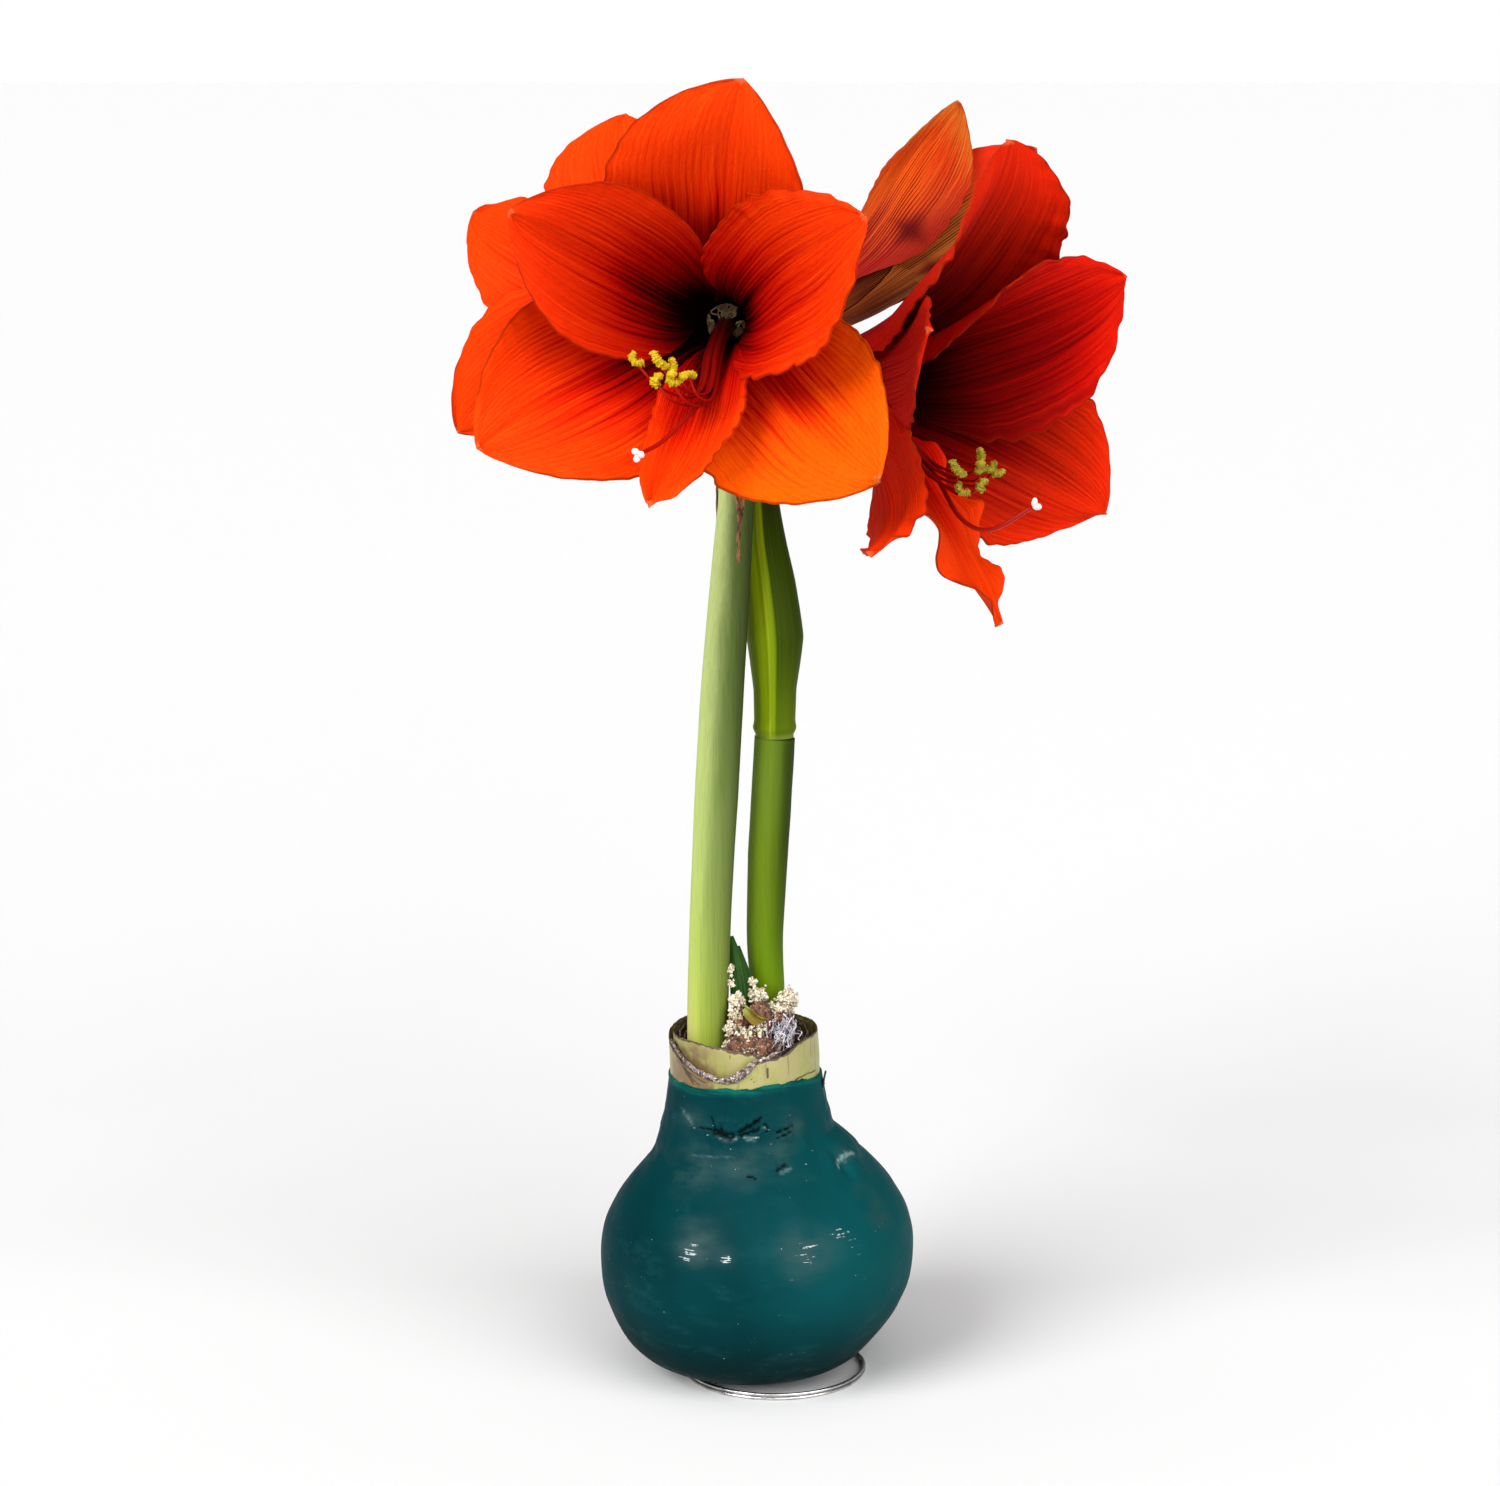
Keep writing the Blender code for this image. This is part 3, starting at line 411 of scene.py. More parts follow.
@dataclass(frozen=True)
class PetalFinish:
    """The skin of one face of the tepals.

    tones and second are colours from the foot of the tube (0) to the tip (1). The
    tone mark of a tepal blends in second as it nears 1, partly the tepal's own
    deeper colour and partly painted shade; below 0 the colours start further in and the outer part
    turns warm, which is painted light. bruise is the share of a dark spot on one half.
    """

    name: str
    tones: Stops
    second: Stops
    warm_painted_light: Colour = (0.74, 0.105, 0.001)
    vein: Colour = (0.68, 0.22, 0.24)
    vein_share: float = 0.72
    vein_pull: float = 0.17
    vein_count: float = 33.0
    rim: Colour = (0.15, 0.012, 0.001)
    rim_share: float = 0.65
    cup: Colour = (0.002, 0.0, 0.0)
    gleam: Colour = (0.86, 0.095, 0.002)
    gleam_share: float = 0.35
    bruise: float = 0.0
    painted_well_shade: float = 0.92
    dulled: float = 0.85
    roughness: float = 0.6
    depth: float = 0.0004

    def material(self) -> Material:
        """Writes the material.

        Returns:
            The material, new.
        """
        r = Recipe(self.name, Specular_IOR_Level=0.02, Subsurface_Weight=0.08, Subsurface_Scale=0.01)
        r.shader.inputs["Subsurface Radius"].default_value = (0.3, 0.03, 0.01)
        across, along = r.map("blade")
        fan, _ = r.map("veins")
        seed, tone = r.mark("tepal"), r.mark("tone")
        off_middle = abs(across * 2.0 - 1.0)
        drift = r.grain(fan * 2.5, along * 1.4, seed, 1.0) - 0.5
        streak = r.grain(fan * 26.0, along * 1.1, seed, 4.0, 0.65)
        patch = r.grain(fan * 3.5, along * 2.6, seed + 5.0, 2.0)
        strong = r.grain(fan * 13.0, along * 1.8, seed + 9.0, 2.0).rise(0.32, 0.68)
        rib = (fan * self.vein_count + drift * 5.0).zigzag()
        main = rib**2.2 * (strong * 0.9 + 0.1)
        thin = (fan * (self.vein_count * 2.3) + drift * 14.0).zigzag() ** 2.0
        net = r.cells(r.vector(fan * 52.0, along * 22.0, seed), 1.0).rise(0.14, 0.02)
        grain = r.grain(fan * 190.0, along * 150.0, seed, 2.0)
        held = along.rise(0.06, 0.22) * (1.0 - along.rise(0.5, 1.02) * 0.62)
        held = held * (1.0 - off_middle.rise(0.45, 1.0) * 0.6)
        lines = (main * 0.85 + thin * 0.3) * held
        midrib = off_middle.rise(0.16, 0.0) * along.rise(1.0, 0.5)
        reach = along + off_middle**1.6 * 0.15 + (streak - 0.5) * 0.55 + (patch - 0.5) * 0.2
        # painted light: tepals marked below 0 are brightened and warmed; towards 1 the second colours darken
        # them, partly their own colour and partly painted shade
        light = tone * -1.0
        bright = light.rise(0.0, 0.3) + light.rise(0.5, 1.0) * 0.3
        reach = reach - lines * self.vein_pull - midrib * 0.05 + bright * 0.11 + 0.03
        r.base = r.ramp(reach, self.tones)
        r.coat(tone, r.ramp(reach, self.second))
        r.coat(light.rise(0.3, 1.0) * reach.rise(0.55, 1.0), self.warm_painted_light)
        # painted shade deep in the throat, spreading further on tepals marked towards 1
        painted_well_shade = (along - tone.rise(0.85, 1.0) * 0.12).rise(0.42, 0.14) * tone.rise(0.15, 0.5)
        r.coat(painted_well_shade * self.painted_well_shade, (0.004, 0.0, 0.0))
        r.coat(along.rise(0.0, -0.04), self.cup)
        # painted highlights: gleaming streaks over the outer part of the tepals
        shine = r.grain(fan * 75.0, along * 2.4, seed + 3.0, 3.0).rise(0.48, 0.7)
        shine = shine * along.rise(0.3, 0.62) * (reach.rise(0.5, 0.85) * 0.7 + 0.3)
        r.coat(shine * self.gleam_share * (1.0 - tone.clipped() * self.dulled), self.gleam)
        r.coat((lines * self.vein_share).clipped(), self.vein, "MULTIPLY")
        r.coat(net * along.rise(0.4, 0.8) * 0.35, (0.86, 0.55, 0.5), "MULTIPLY")
        r.coat((grain - 0.5) * 0.4 + 0.12, (0.72, 0.42, 0.4), "MULTIPLY")
        if self.bruise:
            spot = (abs(across - 0.17) * 5.5 + abs(along - 0.44) * 9.0 + patch * 0.8).rise(1.5, 0.5)
            flank = (across + (streak - 0.5) * 0.3).rise(0.42, 0.05) * along.rise(0.85, 0.45) * 0.85
            r.coat(flank * (1.0 - tone), (0.19, 0.004, 0.006))
            tipped = (tone * along).rise(0.62, 0.8)
            r.coat(tipped * 0.9, (0.5, 0.012, 0.003))
            r.coat(spot * self.bruise, (0.08, 0.003, 0.003))
        rim = off_middle.rise(0.965, 1.0) * along.rise(0.25, 0.6) * self.rim_share
        r.coat(rim, self.rim)
        r.coat(along.rise(0.99, 0.999) * 0.25, (0.5, 0.26, 0.09))
        height = 1.0 - rib**1.5 * (strong * 0.55 + 0.15) * held - thin * held * 0.15 - net * 0.1
        height = height + grain * 0.16 + streak * 0.45
        return r.finish((grain - 0.5) * 0.25 + self.roughness, height, self.depth)


INSIDE = PetalFinish(
    name="petal_inside",
    tones=(
        (0.0, (0.002, 0.0, 0.0)), (0.18, (0.006, 0.0, 0.0)), (0.27, (0.05, 0.0001, 0.0002)),
        (0.38, (0.24, 0.0004, 0.0005)), (0.5, (0.45, 0.003, 0.0006)), (0.62, (0.6, 0.014, 0.0008)),
        (0.78, (0.71, 0.033, 0.0012)), (1.0, (0.75, 0.042, 0.0015)),
    ),
    second=(
        (0.0, (0.002, 0.0, 0.0)), (0.2, (0.006, 0.0, 0.0)), (0.36, (0.045, 0.0001, 0.0002)),
        (0.56, (0.135, 0.0002, 0.0004)), (0.75, (0.25, 0.0004, 0.0006)), (0.9, (0.46, 0.003, 0.001)),
        (1.0, (0.6, 0.008, 0.0015)),
    ),
)
OUTSIDE = PetalFinish(
    name="petal_outside",
    tones=(
        (0.0, (0.105, 0.008, 0.01)), (0.1, (0.11, 0.006, 0.008)), (0.18, (0.17, 0.003, 0.004)),
        (0.3, (0.38, 0.003, 0.0015)), (0.52, (0.62, 0.012, 0.001)), (0.8, (0.7, 0.034, 0.001)),
        (1.0, (0.72, 0.04, 0.001)),
    ),
    second=(
        (0.0, (0.1, 0.008, 0.01)), (0.18, (0.14, 0.003, 0.004)), (0.32, (0.32, 0.002, 0.002)),
        (0.6, (0.5, 0.005, 0.002)), (1.0, (0.62, 0.012, 0.002)),
    ),
    rim_share=0.4, cup=(0.12, 0.01, 0.016), gleam_share=0.2, painted_well_shade=0.12,
)
BUD_OUTSIDE = PetalFinish(
    name="opening_petal_outside",
    tones=(
        (0.0, (0.06, 0.004, 0.004)), (0.16, (0.13, 0.007, 0.006)), (0.3, (0.29, 0.016, 0.009)),
        (0.46, (0.6, 0.072, 0.011)), (0.62, (0.64, 0.078, 0.005)), (0.84, (0.45, 0.028, 0.002)),
        (1.0, (0.4, 0.08, 0.008)),
    ),
    second=(
        (0.0, (0.06, 0.012, 0.004)), (0.3, (0.17, 0.032, 0.0065)), (0.5, (0.31, 0.08, 0.012)),
        (0.85, (0.36, 0.105, 0.012)), (1.0, (0.2, 0.05, 0.007)),
    ),
    vein=(0.16, 0.05, 0.05), vein_share=1.9, vein_pull=0.06, vein_count=46.0, rim=(0.1, 0.004, 0.003),
    rim_share=0.5, cup=(0.1, 0.02, 0.012), gleam=(0.66, 0.17, 0.02), gleam_share=0.6, bruise=1.0, painted_well_shade=0.0,
    dulled=0.3, depth=0.0003,
)


@dataclass(frozen=True)
class StemFinish:
    """The smooth ribbed skin of a scape or pedicel: colours from its foot (0) to its top (1).

    painted_shade is painted shade on the right side: what is left of the colours there, laid on
    by one share at the foot and another at the top; sides are where it sets in and where it is
    full, from 0 at the left to 1 at the right.
    """

    name: str
    tones: Stops
    rib: float = 0.1
    blush: Colour = (0.0, 0.0, 0.0)
    blush_share: float = 0.0
    painted_shade: Colour = (0.14, 0.19, 0.1)
    painted_shade_shares: tuple[float, float] = (0.0, 0.0)
    sides: tuple[float, float] = (0.12, 0.62)
    roughness: float = 0.5

    def material(self) -> Material:
        """Writes the material.

        Returns:
            The material, new.
        """
        r = Recipe(self.name, Specular_IOR_Level=0.04)
        place = r.place()
        around, along = r.map("blade")
        stripes = r.noise(r.stretched(place, (1.0, 1.0, 0.02)), 2200.0, 3.0, 0.6)
        broad = r.noise(r.stretched(place, (1.0, 1.0, 0.05)), 420.0, 2.0)
        spots = r.noise(place, 900.0, 2.0)
        r.base = r.ramp(along + (broad - 0.5) * 0.12, self.tones)
        low, high = self.painted_shade_shares
        # painted shade: the right side is darkened as if turned from the light, its far right darker still
        painted_shade_side = around.zigzag() + (broad - 0.5) * 0.14
        share = along.rise(0.0, 0.7) * (high - low) + low
        r.coat(painted_shade_side.rise(*self.sides) * share, self.painted_shade, "MULTIPLY")
        r.coat(painted_shade_side.rise(0.62, 0.9) * 0.5 * share, (0.1, 0.12, 0.08), "MULTIPLY")
        r.coat(stripes.rise(0.42, 0.72) * (self.rib * 4.0), (0.55, 0.66, 0.5), "MULTIPLY")
        r.coat(spots.rise(0.62, 0.78) * 0.35, (0.8, 0.86, 0.62), "MULTIPLY")
        if self.blush_share:
            left = (around - 0.5).zigzag().rise(0.55, 1.0)
            r.coat(left * along.rise(0.25, 0.02) * self.blush_share, self.blush)
        height = stripes * 0.8 + broad * 0.6 + spots * 0.15
        return r.finish((spots - 0.5) * 0.2 + self.roughness, height, 0.00018)


TALL_STEM = StemFinish(
    name="tall_scape_skin",
    tones=(
        (0.0, (0.37, 0.42, 0.05)), (0.12, (0.35, 0.43, 0.07)), (0.35, (0.36, 0.44, 0.13)),
        (0.7, (0.39, 0.46, 0.17)), (1.0, (0.42, 0.48, 0.19)),
    ),
    blush=(0.5, 0.34, 0.22), blush_share=0.5, painted_shade=(0.18, 0.23, 0.14), painted_shade_shares=(0.6, 1.0),
)
SHORT_STEM = StemFinish(
    name="short_scape_skin",
    tones=(
        (0.0, (0.125, 0.225, 0.003)), (0.3, (0.12, 0.215, 0.004)), (0.6, (0.145, 0.23, 0.012)),
        (0.85, (0.15, 0.24, 0.02)), (1.0, (0.14, 0.225, 0.016)),
    ),
    rib=0.06, painted_shade=(0.26, 0.28, 0.22), painted_shade_shares=(0.0, 1.0), sides=(0.3, 0.76),
)
PEDICEL_SKIN = StemFinish(
    name="pedicel_skin",
    tones=(
        (0.0, (0.22, 0.25, 0.07)), (0.45, (0.17, 0.11, 0.04)), (0.75, (0.14, 0.06, 0.025)),
        (1.0, (0.14, 0.03, 0.02)),
    ),
)


@dataclass(frozen=True)
class SpatheFinish:
    """The bud's two valves: fresh yellow-green, a painted highlight on the keel, painted shade on the left
    flank and the right side.
    """

    name: str = "spathe_skin"
    fresh: Colour = (0.2, 0.285, 0.003)
    deep: Colour = (0.11, 0.18, 0.002)
    # painted shade: deep on the left flank, dark on the right side, darker still towards the top; keel is a
    # painted highlight
    dark: Colour = (0.028, 0.05, 0.001)
    keel: Colour = (0.36, 0.44, 0.02)
    bronze_and_shade: Colour = (0.014, 0.017, 0.001)
    keel_at: float = 0.712

    def material(self) -> Material:
        """Writes the material.

        Returns:
            The material, new.
        """
        r = Recipe(self.name, Specular_IOR_Level=0.04)
        around, along = r.map("blade")
        ribs = r.grain(around * 46.0, along * 1.2, 0.0, 3.0, 0.6)
        cells = r.grain(around * 120.0, along * 260.0, 0.0, 2.0)
        broad = r.grain(around * 7.0, along * 1.3, 4.0, 1.0)
        r.base = r.blend(ribs.rise(0.35, 0.7) * 0.35 + broad.rise(0.4, 0.7) * 0.45, self.fresh, self.deep)
        # painted shade on the left flank
        r.coat((abs(around - 0.6) * 8.0).rise(0.55, 0.0) * 0.6, self.deep)
        # painted highlight along the keel
        keel = (abs(around - self.keel_at) * 30.0).rise(0.42, 0.05) * along.rise(0.9, 0.6)
        r.coat(keel * (ribs * 0.5 + 0.45), self.keel)
        # painted shade on the right side, darkest towards the top
        right = (around.zigzag() + (ribs - 0.5) * 0.03).rise(0.487, 0.535)
        dark = r.blend(along.rise(0.45, 0.85), self.dark, self.bronze_and_shade)
        dark = r.blend(ribs.rise(0.45, 0.75) * 0.14, dark, self.deep)
        r.coat(right * (along.rise(0.02, 0.3) * 0.3 + 0.68), dark)
        r.coat(along.rise(0.03, 0.012) * 0.4, (0.24, 0.3, 0.06))
        r.coat((cells - 0.5) * 0.6 + 0.15, (0.6, 0.7, 0.4), "MULTIPLY")
        return r.finish((cells - 0.5) * 0.2 + 0.42, ribs * 0.6 + cells * 0.4, 0.0002)


@dataclass(frozen=True)
class DryFinish:
    """Papery, crumbly or fibrous dead tissue in two colours, with flecks of a third."""

    name: str
    light: Colour
    dark: Colour
    fleck: Colour
    scale: float = 700.0
    stretch: Point = (1.0, 1.0, 0.35)
    fleck_share: float = 0.6
    depth: float = 0.0004
    roughness: float = 0.75

    def material(self) -> Material:
        """Writes the material.

        Returns:
            The material, new.
        """
        r = Recipe(self.name)
        place = r.place()
        fibre = r.noise(r.stretched(place, self.stretch), self.scale, 4.0, 0.65)
        cloud = r.noise(place, self.scale * 0.25, 3.0)
        bits = r.noise(place, self.scale * 2.2, 2.0)
        r.base = r.blend(fibre.rise(0.4, 0.62), self.light, self.dark)
        r.coat(bits.rise(0.56, 0.68) * self.fleck_share, self.fleck)
        r.coat(cloud.rise(0.35, 0.7) * 0.35, self.dark)
        return r.finish(bits * 0.3 + (self.roughness - 0.15), fibre + bits * 0.5, self.depth)


DRY_BRACT = DryFinish("dry_bract_skin", (0.24, 0.1, 0.028), (0.036, 0.01, 0.005), (0.4, 0.21, 0.05))
BROWN_CLUMP = DryFinish(
    "brown_clump", light=(0.21, 0.078, 0.035), dark=(0.026, 0.009, 0.005), fleck=(0.62, 0.46, 0.29),
    scale=620.0, depth=0.0009,
)
CREAM_CRUMB = DryFinish(
    "cream_crumb", light=(0.8, 0.77, 0.64), dark=(0.34, 0.24, 0.1), fleck=(0.86, 0.85, 0.81), scale=1100.0,
    stretch=(1.0, 1.0, 1.0),
)
SILVER_SKIN = DryFinish(
    "silver_skin", light=(0.3, 0.22, 0.2), dark=(0.035, 0.018, 0.012), fleck=(0.8, 0.76, 0.74), scale=620.0,
    stretch=(1.0, 1.0, 1.6), fleck_share=0.9, roughness=0.5,
)
SILVER_FIBRE = DryFinish("silver_fibre", (0.62, 0.61, 0.66), (0.16, 0.14, 0.18), (0.85, 0.85, 0.9))
DRY_SCALE = DryFinish(
    "dry_scale", light=(0.15, 0.095, 0.06), dark=(0.032, 0.018, 0.013), fleck=(0.34, 0.26, 0.18),
    scale=700.0, stretch=(1.0, 1.0, 0.15),
)


@dataclass(frozen=True)
class LeafFinish:
    """A young leaf's waxy dark green."""

    name: str
    light: Colour
    dark: Colour

    def material(self) -> Material:
        """Writes the material.

        Returns:
            The material, new.
        """
        r = Recipe(self.name, Specular_IOR_Level=0.06, Coat_Roughness=0.3, Coat_Weight=0.03)
        across, along = r.map("blade")
        ribs = r.grain(across * 16.0, along * 1.6, 2.0, 2.0)
        cells = r.grain(across * 60.0, along * 150.0, 0.0, 2.0)
        r.base = r.blend(ribs.rise(0.35, 0.65), self.dark, self.light)
        r.coat(along.rise(0.35, 0.0) * 0.6, (0.3, 0.36, 0.08))
        return r.finish(cells * 0.2 + 0.28, ribs + cells * 0.3, 0.00015)


GREEN_LEAF = LeafFinish("leaf_skin", (0.026, 0.085, 0.01), (0.008, 0.034, 0.006))
SCALE_BIT = LeafFinish("scale_bit", (0.23, 0.17, 0.02), (0.1, 0.065, 0.01))


@dataclass(frozen=True)
class ScaleFinish:
    """The fleshy bulb scales: pale yellow-green, veined, browned where they were cut or tore."""

    name: str = "bulb_scale"
    pale: Colour = (0.265, 0.265, 0.066)
    cream: Colour = (0.31, 0.275, 0.11)
    stain: Colour = (0.13, 0.074, 0.027)
    brown: Colour = (0.045, 0.022, 0.013)

    def material(self) -> Material:
        """Writes the material.

        Returns:
            The material, new.
        """
        r = Recipe(self.name, Subsurface_Weight=0.1, Subsurface_Scale=0.01)
        r.shader.inputs["Subsurface Radius"].default_value = (0.3, 0.25, 0.1)
        place = r.place()
        cut = r.mark("cut")
        cloud = r.noise(place, 160.0, 3.0, 0.6)
        lines = r.noise(r.stretched(place, (1.0, 1.0, 0.08)), 520.0, 3.0, 0.6)
        specks = r.noise(place, 1100.0, 2.0)
        r.base = r.blend(cloud.rise(0.35, 0.65), self.pale, self.cream)
        r.coat(lines.rise(0.58, 0.7) * 0.5, self.stain)
        stained = r.near(place, (-0.025, -0.02, 0.101), 0.019) * (cloud + lines * 0.2).rise(0.3, 0.75)
        r.coat((stained * 2.0).clipped() * 0.9, self.stain)
        r.coat(specks.rise(0.7, 0.78) * 0.6, self.brown)
        browned = (cut + (cloud - 0.5) * 0.5 + (lines - 0.5) * 0.3).rise(0.35, 0.7)
        r.coat(browned * 0.92, self.brown)
        return r.finish(cut * 0.3 + 0.38, lines * 0.6 + specks * 0.3 + cloud * 0.5, 0.00025)


@dataclass(frozen=True)
class WaxFinish:
    """Dipped candle wax: dark teal, cloudy, scuffed where it was handled, greener at its edge.

    veils are its milky places and scuffs its scratched ones, each a centre in the part's frame and
    a radius. It also carries painted shade towards the bottom and in its gaps, painted light on its
    right side, and painted glints along its folds and in small sparkles.
    """

    name: str = "teal_wax"
    deep: Colour = (0.0002, 0.0115, 0.0125)
    clear: Colour = (0.0006, 0.028, 0.033)
    painted_light_tint: Colour = (0.0018, 0.054, 0.059)
    cloud: Colour = (0.006, 0.055, 0.06)
    veil: Colour = (0.02, 0.05, 0.049)
    film: Colour = (0.002, 0.09, 0.068)
    glint: Colour = (0.26, 0.36, 0.35)
    gap: Colour = (0.002, 0.0025, 0.002)
    scratch_and_glint: Colour = (0.42, 0.5, 0.49)
    veils: Spots = (
        ((-0.024, -0.023, 0.088), 0.008), ((-0.025, -0.029, 0.074), 0.013),
        ((-0.008, -0.033, 0.0765), 0.011), ((0.004, -0.03, 0.08), 0.008), ((0.009, -0.026, 0.087), 0.008),
        ((0.025, -0.018, 0.076), 0.006), ((0.035, -0.026, 0.062), 0.012), ((-0.023, -0.046, 0.056), 0.012),
        ((0.012, -0.05, 0.054), 0.014),
    )
    scuffs: Spots = (
        ((-0.0255, -0.0475, 0.0535), 0.0095), ((0.0105, -0.051, 0.0525), 0.011),
        ((0.024, -0.044, 0.056), 0.012), ((-0.013, -0.0505, 0.052), 0.006),
    )

    def material(self) -> Material:
        """Writes the material.

        Returns:
            The material, new.
        """
        r = Recipe(self.name, Specular_IOR_Level=0.015, Coat_Roughness=0.28)
        place = r.place()
        side, _, height = r.parts(place)
        broad = r.noise(place, 26.0, 2.0)
        milky = r.noise(r.stretched(place, (1.0, 1.0, 2.2)), 70.0, 4.0, 0.6)
        fine = r.noise(place, 700.0, 3.0, 0.6)
        streaks = r.noise(r.stretched(place, (0.12, 0.12, 1.3)), 1000.0, 2.0)
        # painted shade: the coat darkens towards the bottom; the broad patches are the wax's own
        clear = (broad.rise(0.2, 0.6) * 0.6 + 0.4) * height.rise(0.005, 0.036)
        r.base = r.blend(clear, self.deep, self.clear)
        # painted light: the right side is lighter over the middle heights
        right = (side + (broad - 0.5) * 0.02).rise(-0.02, 0.042)
        r.coat(right * height.rise(0.01, 0.045), self.painted_light_tint)
        r.coat(milky.rise(0.52, 0.74) * 0.35, self.cloud)
        veiled = self.spots(r, place, self.veils)
        r.coat(veiled * milky.rise(0.35, 0.62) * 0.75, self.veil)
        worn = self.spots(r, place, self.scuffs)
        band = r.noise(r.stretched(place, (0.3, 0.3, 3.0)), 300.0, 2.0)
        r.coat(r.mark("film") * band.rise(0.32, 0.62) * 0.9, self.film)
        marks = (streaks + (fine - 0.5) * 0.35 + worn * 0.2).rise(0.78, 0.82) * worn.rise(0.1, 0.5)
        # dots are painted sparkle highlights; the marks are the wax's own scratches
        dots = r.noise(place, 1500.0, 1.0).rise(0.785, 0.8) * milky.rise(0.5, 0.6)
        r.coat((marks + dots).clipped() * 0.75, self.scratch_and_glint)
        # painted glints along the folds
        r.coat(r.mark("glint") * (fine.rise(0.3, 0.62) * 0.5 + 0.3), self.glint)
        # painted shade inside the cracks and gaps
        crack = (r.mark("crack") * (fine * 0.9 + 0.55)).clipped() * 0.94
        r.coat(crack, self.gap)
        r.feed("Coat Weight", (worn * 0.075 + veiled * 0.035 + 0.008) * (1.0 - crack))
        rough = 0.5 - milky.rise(0.35, 0.7) * 0.1 + fine * 0.06 - marks * 0.15
        return r.finish(rough, fine * 0.3 + milky * 0.9 + marks * 0.5, 0.00035)

    def spots(self, r: Recipe, place: NodeSocket, places: Sequence[tuple]) -> Value:
        """Marks round places on the surface.

        Args:
            r: The recipe that is being written.
            place: The point in the part's frame.
            places: A centre and a radius for each.

        Returns:
            1 in the middle of a place, softly down to 0 at its radius.
        """
        total = None
        for centre, radius in places:
            spot = r.near(place, centre, radius)
            total = spot if total is None else total + spot
        return total.clipped()


@dataclass(frozen=True)
class PowderFinish:
    """Pollen on an anther: bright grains over a darker slit."""

    name: str
    light: Colour
    dark: Colour

    def material(self) -> Material:
        """Writes the material.

        Returns:
            The material, new.
        """
        r = Recipe(self.name, Specular_IOR_Level=0.1)
        place = r.place()
        grain = r.noise(place, 2600.0, 3.0, 0.7)
        cloud = r.noise(place, 500.0, 2.0)
        r.base = r.blend(grain.rise(0.42, 0.62) * 0.5 + cloud.rise(0.5, 0.75) * 0.4, self.light, self.dark)
        return r.finish(grain * 0.2 + 0.7, grain, 0.0003)


BRIGHT_POLLEN = PowderFinish("bright_pollen", (0.6, 0.42, 0.012), (0.24, 0.14, 0.003))
OLIVE_POLLEN = PowderFinish("olive_pollen", (0.42, 0.34, 0.03), (0.09, 0.06, 0.004))
PALE_STIGMA = PowderFinish("pale_stigma", (0.8, 0.75, 0.73), (0.62, 0.46, 0.44))
CORONA_FRINGE = PowderFinish("corona_fringe", (0.88, 0.64, 0.34), (0.32, 0.16, 0.07))


@dataclass(frozen=True)
class ThreadFinish:
    """A filament or a style: translucent red flesh, darker towards its foot."""

    name: str
    light: Colour = (0.3, 0.006, 0.003)
    dark: Colour = (0.075, 0.0006, 0.0012)

    def material(self) -> Material:
        """Writes the material.

        Returns:
            The material, new.
        """
        r = Recipe(self.name, Specular_IOR_Level=0.1, Coat_Weight=0.06, Coat_Roughness=0.25)
        around, along = r.map("blade")
        stripes = r.grain(around * 7.0, along * 6.0, 0.0, 2.0)
        r.base = r.blend(along.rise(0.25, 0.9) * 0.8 + stripes * 0.2, self.dark, self.light)
        return r.finish(stripes * 0.1 + 0.28, stripes, 0.0001)


RED_THREAD = ThreadFinish("red_thread")


@dataclass(frozen=True)
class WireFinish:
    """Bright drawn wire with faint draw lines."""

    name: str = "drawn_wire"

    def material(self) -> Material:
        """Writes the material.

        Returns:
            The material, new.
        """
        r = Recipe(self.name, Metallic=1.0)
        place = r.place()
        tarnish = r.noise(place, 240.0, 3.0)
        lines = r.noise(r.stretched(place, (1.0, 1.0, 9.0)), 900.0, 2.0)
        r.base = r.blend(tarnish.rise(0.4, 0.7), (0.62, 0.61, 0.6), (0.4, 0.39, 0.38))
        return r.finish(lines * 0.12 + 0.14, lines, 0.00004)


@dataclass(frozen=True)
class FloorFinish:
    """A plain pale studio floor."""

    name: str = "pale_floor"
    colour: Colour = (0.68, 0.68, 0.68)

    def material(self) -> Material:
        """Writes the material.

        Returns:
            The material, new.
        """
        r = Recipe(self.name, Roughness=0.9, Specular_IOR_Level=0.1)
        r.shader.inputs["Base Color"].default_value = (*self.colour, 1.0)
        return r.material


class Wardrobe:
    """Makes each finish's material once."""

    made: dict[str, Material] = {}

    @classmethod
    def of(cls, finish: object) -> Material:
        """Looks up a finish's material, and writes it the first time.

        Args:
            finish: Any of the finishes above.

        Returns:
            Its material.
        """
        if finish.name not in cls.made:
            cls.made[finish.name] = finish.material()
        return cls.made[finish.name]


# Modelling


def deselect() -> None:
    """Leaves nothing selected."""
    bpy.ops.object.select_all(action="DESELECT")


def take(piece: Object, *others: Object) -> None:
    """Selects pieces and nothing else.

    Args:
        piece: The one that is made active.
        others: The rest.
    """
    deselect()
    for thing in (piece, *others):
        thing.select_set(True)
    bpy.context.view_layer.objects.active = piece


def sheet(name: str, across: int, along: int, place: Place) -> Object:
    """A grid whose points are put in place by a formula.

    Args:
        name: The piece's name.
        across: Cells along u.
        along: Cells along v.
        place: The point for u and v, each from 0 to 1.

    Returns:
        The mesh object, with u and v in its map "blade".
    """
    deselect()
    bpy.ops.mesh.primitive_grid_add(x_subdivisions=across, y_subdivisions=along, size=2.0)
    piece = bpy.context.object
    piece.name = name
    mesh = piece.data
    mesh.uv_layers[0].name = "blade"
    for vertex in mesh.vertices:
        vertex.co = place((vertex.co.x + 1.0) / 2.0, (vertex.co.y + 1.0) / 2.0)
    return piece


